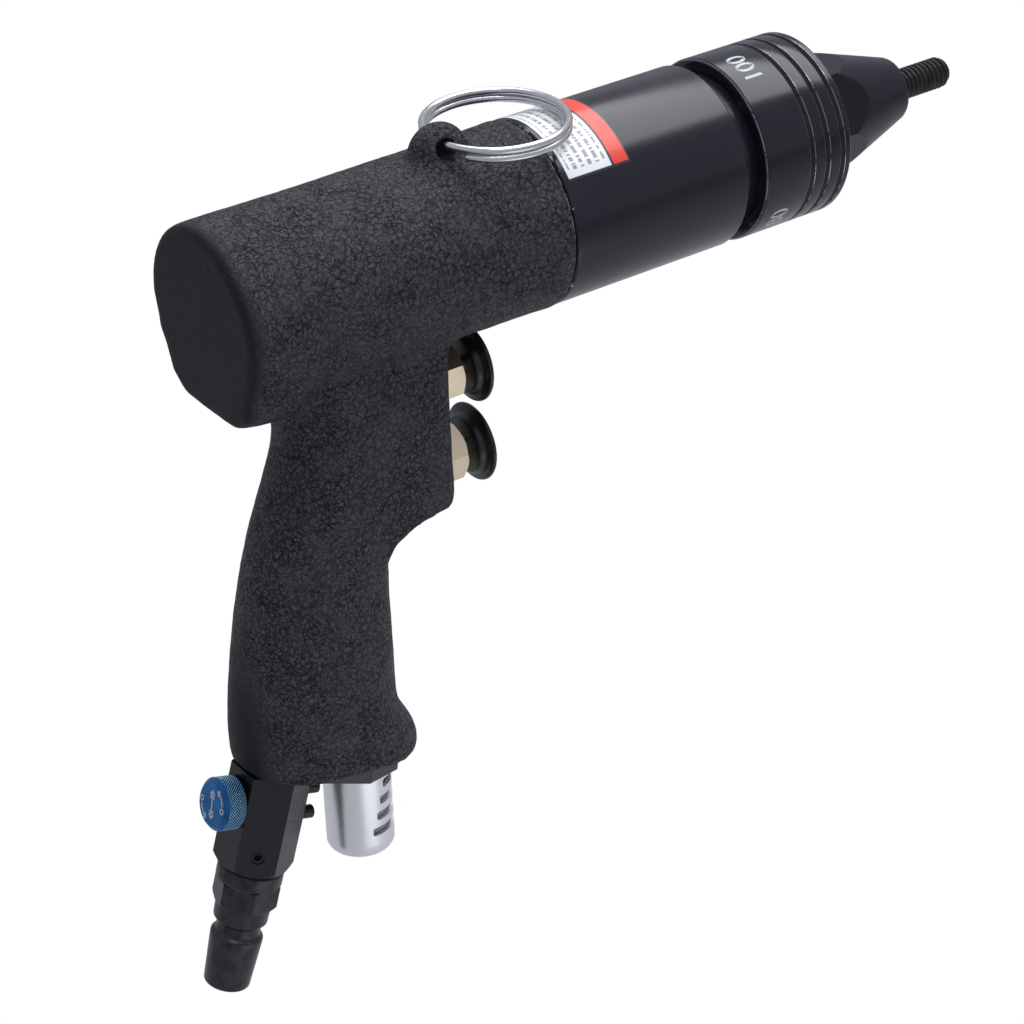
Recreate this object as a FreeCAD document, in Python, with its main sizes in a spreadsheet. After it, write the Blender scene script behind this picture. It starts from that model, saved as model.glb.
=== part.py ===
import FreeCAD, Part
import math
import os
import Sketcher

# Pneumatic rivet gun, millimetres. The origin is the middle of the nosepiece's front face, on the
# barrel's axis. +X points out of the nose, +Z up, and the grip hangs down and back.

FACE_TOWARDS = {"x": FreeCAD.Rotation(FreeCAD.Vector(0, 1, 0), 90), "z": FreeCAD.Rotation()}

DRIVING_SIZES = {
    # barrel line: stations along X, and radii
    "mandrel_tip": 18.5, "mandrel_radius": 3.97, "mandrel_rear": -60.0,
    "nose_radius": 8.05, "nose_slope": 0.317, "nose_rear": -31.1, "nose_across_flats": 27.0,
    "collar_front": -31.3, "collar_rear": -58.2, "collar_radius": 22.75,
    "groove_pitch": 4.7, "groove_depth": 0.9, "groove_half": 0.75,
    "barrel_front": -63.3, "barrel_radius": 22.6, "neck_radius": 19.6, "neck_front": -37.0,
    "neck_bore": 15.5, "barrel_bore": 17.9, "spigot_radius": 20.2, "spigot_rear": -127.5,
    "seam": -114.5, "seam_gap": 0.3, "rim_radius": 22.85,
    "tail": -201.1, "tail_radius": 22.0, "motor_bore": 17.6, "motor_rear": -196.0,
    # grip
    "bulge_front": -142.9, "bulge_half_width": 13.4,
    "butt_tilt": 9.0, "butt_rear": -121.1, "butt_rear_station": -200.5,
    # hanging ring and its lug
    "lug_station": -137.2, "lug_height": 24.65, "lug_radius": 7.6, "lug_half_width": 5.8,
    "lug_hole": 2.5, "hanging_radius": 16.8, "wire_radius": 0.925,
    # air motor
    "liner_bore": 13.1, "liner_offset": 1.0, "rotor_radius": 11.2, "rotor_shaft": 2.45,
    "rotor_rear": -187.8, "rotor_front": -148.4, "vane_thickness": 1.6, "vane_tip": 11.8,
    "vane_root": 5.4,
    # planetary gearbox
    "gear_module": 0.6, "sun_teeth": 12, "planet_teeth": 15, "ring_teeth": 42,
    "gear_rear": -138.4, "gear_front": -130.2, "pin_radius": 1.5, "running_gap": 0.05,
    # trigger valves
    "upper_valve": -33.7, "lower_valve": -55.4, "button_rim": -130.3, "button_radius": 9.9,
    "drum_radius": 7.4, "drum_rear": -133.2, "valve_hex": 13.0, "valve_face": -135.7,
    "valve_shank": 5.5, "valve_end": -160.0, "stem_radius": 2.4,
    # air inlet, measured along its own slanted axis
    "inlet_station": -200.6, "inlet_height": -150.0, "inlet_tilt": 17.45,
    "block_hex": 17.4, "block_top": 33.0, "plate_height": 25.8, "block_shoulder": 2.4, "spool_height": 18.46,
    "spool_radius": 2.9, "knob_radius": 6.57, "knob_face": 15.55, "knob_length": 6.0,
    "plug_hex": 14.6, "plug_tip": -33.6,
    # exhaust
    "muffler_station": -168.9, "muffler_radius": 8.55, "muffler_bottom": -157.3,
    "muffler_roof": -137.2, "muffler_neck": -122.2, "muffler_wall": 0.9, "slot_pitch": 4.45, "slot_height": 2.0,
    "slot_middle": -149.7,
}

doc = FreeCAD.newDocument("rivet_gun")
sheet = doc.addObject("Spreadsheet::Sheet", "sizes")


def fill_sheet(sizes):
    for row, (alias, value) in enumerate(sizes.items(), start=1):
        sheet.set(f"A{row}", alias)
        sheet.set(f"B{row}", str(value))
        sheet.setAlias(f"B{row}", alias)
    doc.recompute()


class Size:
    """A number that remembers the sheet expression it comes from."""

    def __init__(self, value, text):
        self.value = value
        self.text = text

    def combine(self, other, sign, result):
        return Size(result, f"({self.text} {sign} {as_size(other).text})")

    def __add__(self, other):
        return self.combine(other, "+", self.value + as_size(other).value)

    def __radd__(self, other):
        return as_size(other) + self

    def __sub__(self, other):
        return self.combine(other, "-", self.value - as_size(other).value)

    def __rsub__(self, other):
        return as_size(other) - self

    def __mul__(self, other):
        return self.combine(other, "*", self.value * as_size(other).value)

    def __rmul__(self, other):
        return as_size(other) * self

    def __truediv__(self, other):
        return self.combine(other, "/", self.value / as_size(other).value)

    def __neg__(self):
        return Size(-self.value, f"(0 - {self.text})")


def as_size(number):
    return number if isinstance(number, Size) else Size(float(number), f"{float(number):.6g}")


def size(alias):
    return Size(float(DRIVING_SIZES[alias]), f"sizes.{alias}")


nodes = []


def keep(thing, label):
    """Make an object a sub-part: its label is its node's name."""
    thing.Label = label
    nodes.append(thing)
    return thing


# ---------------------------------------------------------------- sketches and solids

def bind(thing, prop, number):
    number = as_size(number)
    thing.setExpression(prop, number.text)
    return number.value


def new_body(name):
    return doc.addObject("PartDesign::Body", name)


def new_sketch(body, name, role, offset=0):
    """A sketch on one of the body's own planes, moved along its normal."""
    sketch = body.newObject("Sketcher::SketchObject", name)
    plane = next(part for part in body.Origin.OriginFeatures if part.Role == role)
    sketch.AttachmentSupport = [(plane, "")]
    sketch.MapMode = "FlatFace"
    bind(sketch, ".AttachmentOffset.Base.z", offset)
    return sketch


def draw_outline(sketch, points):
    """A closed outline whose corners are bound to the sheet."""
    corners = [FreeCAD.Vector(as_size(u).value, as_size(v).value, 0) for u, v in points]
    count = len(corners)
    for index in range(count):
        sketch.addGeometry(Part.LineSegment(corners[index], corners[(index + 1) % count]), False)
    for index in range(count):
        following = (index + 1) % count
        sketch.addConstraint(Sketcher.Constraint("Coincident", index, 2, following, 1))
    for index, (u, v) in enumerate(points):
        for kind, number in (("DistanceX", as_size(u)), ("DistanceY", as_size(v))):
            rule = Sketcher.Constraint(kind, -1, 1, index, 1, number.value)
            place = sketch.addConstraint(rule)
            bind(sketch, f"Constraints[{place}]", number)


def turned(name, points):
    """A body of revolution about X from (station, radius) corners."""
    body = new_body(name)
    sketch = new_sketch(body, name + "_profile", "XZ_Plane")
    draw_outline(sketch, points)
    turn = body.newObject("PartDesign::Revolution", name + "_turn")
    turn.Profile = sketch
    turn.ReferenceAxis = (sketch, ["H_Axis"])
    turn.Angle = 360
    return body


def tube(name, rear, front, outer, inner):
    return turned(name, [(rear, inner), (rear, outer), (front, outer), (front, inner)])


def cylinder(name, radius, length, middle, facing="x"):
    """A Part cylinder that starts at a point and runs along X or Z."""
    solid = doc.addObject("Part::Cylinder", name)
    bind(solid, "Radius", radius)
    bind(solid, "Height", length)
    place(solid, middle, FACE_TOWARDS[facing])
    return solid


def prism(name, across_flats, length, start, facing="x", turn=0):
    """A hexagonal bar; turn is its angle about its own axis."""
    solid = doc.addObject("Part::Prism", name)
    solid.Polygon = 6
    bind(solid, "Circumradius", as_size(across_flats) / math.sqrt(3))
    bind(solid, "Height", length)
    spin = FreeCAD.Rotation(FreeCAD.Vector(0, 0, 1), turn)
    place(solid, start, FACE_TOWARDS[facing].multiply(spin))
    return solid


def block(name, lengths, corner):
    solid = doc.addObject("Part::Box", name)
    for prop, length in zip(("Length", "Width", "Height"), lengths):
        bind(solid, prop, length)
    place(solid, corner)
    return solid


def place(thing, point, rotation=None):
    """Put a thing at a point whose coordinates are bound to the sheet."""
    if rotation is not None:
        thing.Placement.Rotation = rotation
    for axis, number in zip("xyz", point):
        bind(thing, f".Placement.Base.{axis}", number)


def fuse(name, shapes):
    joined = doc.addObject("Part::MultiFuse", name)
    joined.Shapes = shapes
    return joined


def common(name, shapes):
    shared = doc.addObject("Part::MultiCommon", name)
    shared.Shapes = shapes
    return shared


def cut(name, base, tools):
    rest = doc.addObject("Part::Cut", name)
    rest.Base = base
    rest.Tool = tools[0] if len(tools) == 1 else fuse(name + "_tools", tools)
    return rest


def group(name, solids):
    together = doc.addObject("Part::Compound", name)
    together.Links = solids
    return together


# ---------------------------------------------------------------- housing

GRIP_STATIONS = [
    # height, rear, front, half width
    (-12.0, -184.0, -150.0, 13.5),
    (-30.0, -184.3, -151.0, 13.7),
    (-45.0, -185.4, -154.0, 14.1),
    (-60.0, -191.3, -157.0, 14.6),
    (-76.0, -196.0, -158.7, 15.1),
    (-92.0, -199.2, -158.7, 15.6),
    (-107.0, -201.2, -158.7, 15.9),
    (-115.0, -201.7, -157.9, 16.0),
    (-120.0, -201.5, -155.4, 16.0),
    (-125.0, -201.1, -153.4, 16.0),
    (-133.0, -200.2, -157.0, 15.6),
]


def draw_oval(sketch, rear, front, half_width):
    """A long oval: two half circles joined by straight sides, symmetric about X."""
    radius = half_width
    near, far = rear + radius, front - radius
    up, down = FreeCAD.Vector(0, 0, 1), math.pi / 2
    sketch.addGeometry(Part.ArcOfCircle(Part.Circle(FreeCAD.Vector(near, 0, 0), up, radius), down, 3 * down))
    sketch.addGeometry(Part.LineSegment(FreeCAD.Vector(near, -radius, 0), FreeCAD.Vector(far, -radius, 0)))
    sketch.addGeometry(Part.ArcOfCircle(Part.Circle(FreeCAD.Vector(far, 0, 0), up, radius), 3 * down, 5 * down))
    sketch.addGeometry(Part.LineSegment(FreeCAD.Vector(far, radius, 0), FreeCAD.Vector(near, radius, 0)))
    for first, second in ((0, 1), (1, 2), (2, 3), (3, 0)):
        sketch.addConstraint(Sketcher.Constraint("Tangent", first, 2, second, 1))
    sketch.addConstraint(Sketcher.Constraint("Horizontal", 1))
    sketch.addConstraint(Sketcher.Constraint("PointOnObject", 0, 3, -1))


def bind_oval(sketch, rear, front, half_width):
    centres = ((0, rear + half_width), (2, front - half_width))
    for geometry, number in centres:
        rule = Sketcher.Constraint("DistanceX", -1, 1, geometry, 3, number.value)
        bind(sketch, f"Constraints[{sketch.addConstraint(rule)}]", number)
    rule = Sketcher.Constraint("Radius", 0, half_width.value)
    bind(sketch, f"Constraints[{sketch.addConstraint(rule)}]", half_width)


def grip_body():
    body = new_body("grip")
    sections = []
    for index, (height, rear, front, half_width) in enumerate(GRIP_STATIONS, start=1):
        sketch = new_sketch(body, f"grip_section_{index}", "XY_Plane", size(f"grip_height_{index}"))
        draw_oval(sketch, rear, front, half_width)
        bind_oval(sketch, size(f"grip_rear_{index}"), size(f"grip_front_{index}"),
                  size(f"grip_half_{index}"))
        sections.append(sketch)
    loft = body.newObject("PartDesign::AdditiveLoft", "grip_loft")
    loft.Profile = sections[0]
    loft.Sections = sections[1:]
    return body


def trigger_bulge():
    """The block in front of the grip that the two valves screw into."""
    body = new_body("trigger_bulge")
    sketch = new_sketch(body, "bulge_profile", "XZ_Plane")
    front = size("bulge_front")
    draw_outline(sketch, [(front, -12), (front, -57.5), (front - 0.7, -60.6), (front - 2.3, -62.3),
                          (front - 7.0, -62.9), (front - 12.7, -64.0), (front - 15.2, -65.4),
                          (front - 17.7, -67.3), (front - 19.6, -69.5), (front - 20.8, -72.0),
                          (front - 30, -72.0), (front - 30, -12)])
    pad = body.newObject("PartDesign::Pad", "bulge_pad")
    pad.Profile = sketch
    bind(pad, "Length", 2 * size("bulge_half_width"))
    pad.Midplane = True
    doc.recompute()
    edges = [f"Edge{number}" for number, edge in enumerate(pad.Shape.Edges, start=1)
             if is_upright_front(edge, DRIVING_SIZES["bulge_front"])]
    rounding = body.newObject("PartDesign::Fillet", "bulge_rounding")
    rounding.Base = (pad, edges)
    rounding.Radius = 4.0
    body.Tip = rounding
    return body


def is_upright_front(edge, front):
    """The long edges at both sides of the bulge's front face."""
    ends = [vertex.Point for vertex in edge.Vertexes]
    at_front = all(abs(point.x - front) < 0.01 for point in ends)
    return at_front and abs(ends[0].z - ends[-1].z) > 10


def tail_lobe():
    """The flat-bottomed lower half of the housing's rear, which dips towards the grip."""
    body = new_body("tail_lobe")
    sections = []
    for index, (shift, low) in enumerate(((0, -22.9), (8.0, -24.6), (19.0, -25.5)), start=1):
        sketch = new_sketch(body, f"lobe_section_{index}", "YZ_Plane", size("tail") + shift)
        draw_outline(sketch, [(-20.4, -8.2), (-14.7, -19.6), (-13.4, low + 3.0), (-9.5, low),
                              (9.5, low), (13.4, low + 3.0), (14.7, -19.6), (20.4, -8.2)])
        sections.append(sketch)
    loft = body.newObject("PartDesign::AdditiveLoft", "lobe_loft")
    loft.Profile = sections[0]
    loft.Sections = sections[1:]
    loft.Ruled = True
    return body


def barrel_half():
    """The round part of the housing, slightly tapered to the rear."""
    rear, seam = size("tail"), size("seam")
    return turned("motor_case", [(rear, 0), (rear, size("tail_radius") - 1.2),
                                 (rear + 1.2, size("tail_radius")), (seam - 0.5, size("rim_radius")),
                                 (seam, size("rim_radius") - 0.5), (seam, 0)])


def lug():
    """The rounded ear on top that the hanging ring passes through."""
    ear = doc.addObject("Part::Ellipsoid", "ear")
    for prop, radius in (("Radius1", size("lug_radius")), ("Radius2", size("lug_radius")),
                         ("Radius3", size("lug_half_width"))):
        bind(ear, prop, radius)
    place(ear, (size("lug_station") + 0.6, 0, size("lug_height") - 2.7))
    hole = doc.addObject("Part::Cylinder", "ear_hole")
    bind(hole, "Radius", size("lug_hole"))
    bind(hole, "Height", 40)
    place(hole, (size("lug_station"), 20, size("lug_height")),
          FreeCAD.Rotation(FreeCAD.Vector(1, 0, 0), 90))
    return ear, hole


def butt_space(name, low):
    """A thick slab along the slanted butt face whose lower side is a distance below that face."""
    slab = doc.addObject("Part::Box", name)
    for prop, length in (("Length", 120), ("Width", 80), ("Height", 60)):
        bind(slab, prop, length)
    tilt = math.radians(DRIVING_SIZES["butt_tilt"])
    slab.Placement.Rotation = FreeCAD.Rotation(FreeCAD.Vector(0, 1, 0), DRIVING_SIZES["butt_tilt"])
    start = (size("butt_rear_station") - 30 * math.cos(tilt) - low * math.sin(tilt), as_size(-40),
             size("butt_rear") + 30 * math.sin(tilt) - low * math.cos(tilt))
    place(slab, start)
    return slab


def housing():
    ear, ear_hole = lug()
    solid = fuse("housing_solid", [barrel_half(), tail_lobe(), grip_body(), trigger_bulge(), ear])
    seam, reach = size("seam"), 30
    bores = [
        cylinder("motor_hole", size("motor_bore"), seam - size("motor_rear") + 1, (size("motor_rear"), 0, 0)),
        cylinder("spigot_hole", size("spigot_radius") + 0.1, seam - size("spigot_rear") + 1,
                 (size("spigot_rear"), 0, 0)),
        cylinder("exhaust_hole", 5.1, 55, (size("muffler_station"), 0, -137), "z"),
        ear_hole,
        butt_space("butt_cut", 60),
    ]
    for height in ("upper_valve", "lower_valve"):
        bores.append(cylinder(height + "_hole", size("valve_shank") + 0.1, reach,
                              (size("valve_end") - 0.5, 0, size(height))))
        bores.append(cylinder(height + "_spring_hole", 4.2, reach, (size("valve_end") - 11.5, 0, size(height))))
    inlet = cylinder("inlet_hole", 4.0, 125, (size("inlet_station"), 0, size("inlet_height")), "z")
    inlet.Placement.Rotation = inlet_rotation()
    neck = cylinder("inlet_neck_hole", 6.1, 38, (size("inlet_station"), 0, size("inlet_height")), "z")
    neck.Placement.Rotation = inlet_rotation()
    for index, side in enumerate(BUTT_SCREW_SIDES, start=1):
        bores.append(butt_hole(f"butt_screw_hole_{index}", 1.3, 9, side, 5))
    keep(cut("housing_cut", solid, bores + [inlet, neck]), "housing")


# ---------------------------------------------------------------- butt plate and what hangs from it

def butt_normal_place(along, down):
    """A point on the butt face, a distance forward along it and a distance below it."""
    tilt = math.radians(DRIVING_SIZES["butt_tilt"])
    x = size("butt_rear_station") + along * math.cos(tilt) - down * math.sin(tilt)
    z = size("butt_rear") - along * math.sin(tilt) - down * math.cos(tilt)
    return x, z


BUTT_SCREW_SIDES = (-7.4, 7.4)


def butt_hole(name, radius, length, side, height):
    """A cylinder square to the plate's underside, from a height above it upwards."""
    return on_inlet(cylinder(name, radius, length, (0, 0, 0), "z"), (15.5, side, size("plate_height") + height))


def above_underside(name):
    """Everything above the butt plate's underside, which is square to the inlet's axis."""
    slab = doc.addObject("Part::Box", name)
    for prop, length in (("Length", 120), ("Width", 80), ("Height", 60)):
        bind(slab, prop, length)
    return on_inlet(slab, (-40, -40, size("plate_height")))


def butt_slab(name, thickness, down, outline):
    """A slab under the butt face; half of its outline is given as distances along it and sideways."""
    body = new_body(name)
    sketch = new_sketch(body, name + "_outline", "XY_Plane")
    draw_outline(sketch, [(along, -side) for along, side in outline]
                 + [(along, side) for along, side in reversed(outline)])
    pad = body.newObject("PartDesign::Pad", name + "_pad")
    pad.Profile = sketch
    bind(pad, "Length", thickness)
    pad.Reversed = True
    x, z = butt_normal_place(0, down)
    body.Placement.Rotation = FreeCAD.Rotation(FreeCAD.Vector(0, 1, 0), DRIVING_SIZES["butt_tilt"])
    place(body, (x, 0, z))
    return body


def block_hexagon(name, across_flats):
    """A tall hexagon round the inlet's axis, with two flats facing forwards and back."""
    hexagon = on_inlet(doc.addObject("Part::Prism", name), (0, 0, -1),
                       FreeCAD.Rotation(FreeCAD.Vector(0, 0, 1), 30))
    hexagon.Polygon = 6
    bind(hexagon, "Circumradius", across_flats / math.sqrt(3))
    bind(hexagon, "Height", 40)
    return hexagon


def butt_plate():
    """A wedge between the butt and the muffler that fits round the inlet block, on a thin gasket."""
    gasket = butt_slab("gasket_slab", 0.48, 0.02, [(1.2, 6.0), (6.2, 9.0), (28.7, 11.0), (40.2, 5.8)])
    wedge = common("plate_wedge", [
        butt_slab("plate_slab", 14, 0.5, [(12.0, 7.2), (18.0, 9.0), (29.5, 11.8), (41.4, 6.6)]),
        above_underside("plate_limit")])
    wedge = cut("plate_round_block", wedge, [block_hexagon("plate_hexagon", size("block_hex") + 0.04)])
    for name, slab in (("butt_gasket", gasket), ("butt_plate", wedge)):
        muffler_hole = cylinder(name + "_muffler_hole", 5.1, 30, (size("muffler_station"), 0, -145), "z")
        neck = on_inlet(cylinder(name + "_inlet_hole", 6.1, 38, (0, 0, 0), "z"))
        holes = [muffler_hole, neck]
        for index, side in enumerate(BUTT_SCREW_SIDES, start=1):
            holes.append(butt_hole(f"{name}_screw_hole_{index}", 1.3, 12, side, -1))
            holes.append(butt_hole(f"{name}_head_hole_{index}", 2.1, 2.5, side, -1))
        keep(cut(name + "_cut", slab, holes), name)


def butt_screws():
    screws = []
    for index, side in enumerate(BUTT_SCREW_SIDES, start=1):
        shank = butt_hole(f"butt_shank_{index}", 1.2, 12.0, side, 1.4)
        head = butt_hole(f"butt_head_{index}", 2.0, 1.4, side, 0.05)
        socket = butt_hole(f"butt_socket_{index}", 0.9, 1.0, side, 0)
        screws.append(cut(f"butt_screw_{index}", fuse(f"butt_blank_{index}", [shank, head]), [socket]))
    keep(group("butt_screw_group", screws), "butt_screws")


# ---------------------------------------------------------------- barrel, collar and nose

def barrel():
    seam = size("seam") + size("seam_gap")
    front, outer, neck = size("barrel_front"), size("barrel_radius"), size("neck_radius")
    keep(turned("barrel_body", [
        (size("spigot_rear"), size("barrel_bore")), (size("spigot_rear"), size("spigot_radius")),
        (seam, size("spigot_radius")), (seam, outer - 0.5), (seam + 0.5, outer),
        (front - 0.7, outer), (front, outer - 0.7), (front, neck),
        (size("neck_front"), neck), (size("neck_front"), size("neck_bore")),
        (front - 2.7, size("neck_bore")), (front - 2.7, size("barrel_bore"))]), "barrel")


def collar():
    """The setting collar, with three V-grooves round its front half."""
    front, rear, outer = size("collar_front"), size("collar_rear"), size("collar_radius")
    bore, wall = size("neck_radius") + size("running_gap"), 1.9
    points = [(front - wall, 12.6), (front - wall, bore), (rear, bore), (rear, outer - 0.6),
              (rear + 0.6, outer)]
    for number in (3, 2, 1):
        middle = front - 3.2 - (number - 1) * size("groove_pitch")
        half = size("groove_half")
        points += [(middle - half, outer), (middle, outer - size("groove_depth")), (middle + half, outer)]
    points += [(front - 1.0, outer), (front, outer - 1.0), (front, 12.6)]
    keep(turned("collar_body", points), "setting_collar")


def nose_holder():
    """The threaded ring in the barrel's neck that the nosepiece screws into."""
    neck, bore = size("neck_front"), size("neck_bore") - 0.05
    keep(turned("nose_holder_body", [
        (neck - 10, 12.05), (neck - 10, bore), (neck, bore), (neck, size("neck_radius") - 0.3),
        (neck + 3.6, size("neck_radius") - 0.3), (neck + 3.6, 12.05)]), "nose_holder")


def nosepiece():
    """A cone with a hexagon at its root, so that the flats end in curves."""
    rear, root = size("nose_rear"), size("nose_radius") - size("nose_slope") * size("nose_rear")
    cone = turned("nose_turned", [
        (rear - 15, 7), (rear - 15, 12), (rear, 12), (rear, root), (-0.7, size("nose_radius") + 0.22),
        (0, size("nose_radius") - 0.6), (0, size("mandrel_radius") + 0.15),
        (-8, size("mandrel_radius") + 0.15), (-10.9, 7)])
    flats = prism("nose_hexagon", size("nose_across_flats"), 60, (-50, 0, 0), "x", 30)
    keep(common("nose_shape", [cone, flats]), "nosepiece")


def mandrel():
    """The threaded mandrel that the rivet nut is screwed onto, with a hexagonal head at its rear."""
    tip, radius, rear = size("mandrel_tip"), size("mandrel_radius"), size("mandrel_rear")
    relieved = radius - 0.47
    shank = turned("mandrel_turned", [(rear, 0), (rear, relieved), (0.05, relieved), (0.05, radius),
                                      (tip - 1.6, radius),
                                      (tip - 0.5, radius - 0.9), (tip, radius - 2.4), (tip, 0)])
    head = prism("mandrel_head", 10.0, 9, (rear, 0, 0), "x")
    keep(fuse("mandrel_shape", [shank, head]), "mandrel")


def chuck():
    """The driven socket that holds the mandrel's head, with a screwed cap in front of it."""
    rear, front, outer = -66.0, size("mandrel_rear") + 10, 11.5
    blank = turned("chuck_turned", [(rear, 0), (rear, outer), (front, outer), (front, 0)])
    socket = prism("chuck_socket", 10.3, 12, (size("mandrel_rear") - 0.3, 0, 0), "x")
    drive = prism("chuck_drive", 8.3, 5, (rear - 0.5, 0, 0), "x")
    keep(cut("chuck_shape", blank, [socket, drive]), "mandrel_chuck")
    keep(tube("chuck_cap_body", front + 0.1, front + 3.0, 11.4, size("mandrel_radius") + 0.15),
         "chuck_cap")
    keep(tube("front_bush_body", rear + 0.4, front - 2, size("neck_bore") - 0.05,
              outer + size("running_gap")), "front_bush")


def label():
    """A thin blank sticker that wraps the top of the barrel just ahead of the seam."""
    length, sweep, thickness = 17.8, 102.0, 0.06
    outer = doc.addObject("Part::Cylinder", "label_outer")
    inner = doc.addObject("Part::Cylinder", "label_inner")
    for solid, radius, extra in ((outer, size("barrel_radius") + thickness + 0.01, 0),
                                 (inner, size("barrel_radius") + 0.01, 1)):
        bind(solid, "Radius", radius)
        bind(solid, "Height", length + 2 * extra)
        solid.Angle = sweep if solid is outer else 360
        turn = FreeCAD.Rotation(FreeCAD.Vector(1, 0, 0), -sweep / 2)
        solid.Placement.Rotation = turn.multiply(
            FreeCAD.Rotation(FreeCAD.Vector(0, 1, 0), 90)).multiply(
            FreeCAD.Rotation(FreeCAD.Vector(0, 0, 1), 180))
        place(solid, (size("seam") + 1.7 - extra, 0, 0))
    keep(cut("label_shape", outer, [inner]), "barrel_label")


# ---------------------------------------------------------------- air motor

def bearing(label, rear, length, bore, outer, balls):
    """A ball bearing: outer race, inner race and a ring of balls."""
    middle_radius = (bore + outer) / 2
    ball = (outer - bore) * 0.28
    race = (outer - bore) * 0.3
    middle = rear + length / 2
    groove = ball * 0.5
    inner = turned(label + "_inner", [(rear, bore), (rear, bore + race), (middle - groove, bore + race),
                                      (middle, bore + race - 0.2), (middle + groove, bore + race),
                                      (rear + length, bore + race), (rear + length, bore)])
    ring = turned(label + "_outer", [(rear, outer), (rear, outer - race), (middle - groove, outer - race),
                                     (middle, outer - race + 0.2), (middle + groove, outer - race),
                                     (rear + length, outer - race), (rear + length, outer)])
    spheres = []
    for index in range(balls):
        angle = 2 * math.pi * index / balls
        sphere = doc.addObject("Part::Sphere", f"{label}_ball_{index + 1}")
        bind(sphere, "Radius", ball * 0.7)
        place(sphere, (middle, middle_radius * math.sin(angle), middle_radius * math.cos(angle)))
        spheres.append(sphere)
    keep(group(label + "_races", [inner, ring] + spheres), label)


def motor():
    bore, rear, front = size("motor_bore") - 0.1, size("rotor_rear"), size("rotor_front")
    shaft_hole = 3.2
    keep(turned("rear_plate_body", [(rear - 0.4, shaft_hole), (rear - 0.4, bore), (rear - 8, bore),
                                    (rear - 8, 8), (rear - 1.7, 8), (rear - 1.7, shaft_hole)]),
         "rear_end_plate")
    keep(turned("front_plate_body", [(front + 0.4, shaft_hole), (front + 0.4, bore), (front + 8.2, bore),
                                     (front + 8.2, 8), (front + 2, 8), (front + 2, shaft_hole)]),
         "front_end_plate")
    shaft = DRIVING_SIZES["rotor_shaft"] + DRIVING_SIZES["running_gap"]
    bearing("rear_motor_bearing", DRIVING_SIZES["rotor_rear"] - 6.8, 5.0, shaft, 7.98, 8)
    bearing("front_motor_bearing", DRIVING_SIZES["rotor_front"] + 2.2, 5.0, shaft, 7.98, 8)
    liner = cylinder("liner_blank", bore, front - rear - 0.2, (rear + 0.1, 0, 0))
    hollow = cylinder("liner_hollow", size("liner_bore"), front - rear + 2,
                      (rear - 1, 0, size("liner_offset")))
    keep(cut("liner_shape", liner, [hollow]), "motor_liner")
    rotor(rear, front)


def rotor(rear, front):
    """The slotted rotor, its shaft with the sun pinion, and five vanes."""
    shaft, thickness = size("rotor_shaft"), size("vane_thickness")
    core = turned("rotor_turned", [
        (rear - 6.8, 0), (rear - 6.8, shaft), (rear + 0.1, shaft), (rear + 0.1, size("rotor_radius")),
        (front - 0.1, size("rotor_radius")), (front - 0.1, shaft), (size("gear_rear") + 0.5, shaft),
        (size("gear_rear") + 0.5, 0)])
    slots, vanes = [], []
    for index in range(5):
        turn = FreeCAD.Rotation(FreeCAD.Vector(1, 0, 0), 72 * index)
        slot = block(f"slot_{index + 1}", (front - rear + 2, thickness + 0.2, 10), (0, 0, 0))
        vane = block(f"vane_{index + 1}", (front - rear - 0.6, thickness,
                                           size("vane_tip") - size("vane_root")), (0, 0, 0))
        for solid, start, side, low in ((slot, rear - 1, 0.9, size("vane_root") - 0.2),
                                        (vane, rear + 0.3, 0.8, size("vane_root"))):
            corner = turn.multVec(FreeCAD.Vector(0, -side, low.value))
            place(solid, (start, corner.y, corner.z), turn)
        slots.append(slot)
        vanes.append(vane)
    sun = gear("sun_gear", size("sun_teeth"), 0, 0)
    keep(fuse("rotor_shape", [cut("rotor_slotted", core, slots), sun]), "rotor")
    keep(group("vane_group", vanes), "rotor_vanes")


# ---------------------------------------------------------------- planetary gearbox

def tooth_points(teeth, phase, internal=False):
    """Corners of a straight-flanked gear outline; phase turns its first tooth, in degrees."""
    module = DRIVING_SIZES["gear_module"]
    pitch_radius = module * teeth / 2
    out = -1 if internal else 1
    tip, root = pitch_radius + out * 0.8 * module, pitch_radius - out * 1.15 * module
    points = []
    for tooth in range(teeth):
        middle = math.radians(phase) + 2 * math.pi * tooth / teeth
        step = 2 * math.pi / teeth
        for radius, shift in ((root, -0.32), (tip, -0.11), (tip, 0.11), (root, 0.32)):
            angle = middle + shift * step
            points.append((radius * math.sin(angle), radius * math.cos(angle)))
    return points


def gear(name, teeth, y, z, phase=0.0):
    """A gear whose axis is parallel to the barrel's."""
    body = new_body(name)
    sketch = new_sketch(body, name + "_outline", "YZ_Plane")
    count = int(teeth.value)
    corners = [FreeCAD.Vector(u, v, 0) for u, v in tooth_points(count, phase)]
    for start, end in zip(corners, corners[1:] + corners[:1]):
        sketch.addGeometry(Part.LineSegment(start, end), False)
    pad = body.newObject("PartDesign::Pad", name + "_pad")
    pad.Profile = sketch
    bind(pad, "Length", size("gear_front") - size("gear_rear"))
    place(body, (size("gear_rear"), y, z))
    return body


def planet_phase(angle):
    """The turn, in degrees, that puts a planet's gap over the sun's tooth."""
    sun, planet = DRIVING_SIZES["sun_teeth"], DRIVING_SIZES["planet_teeth"]
    return angle + 180 + (angle * sun - 180) / planet


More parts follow.
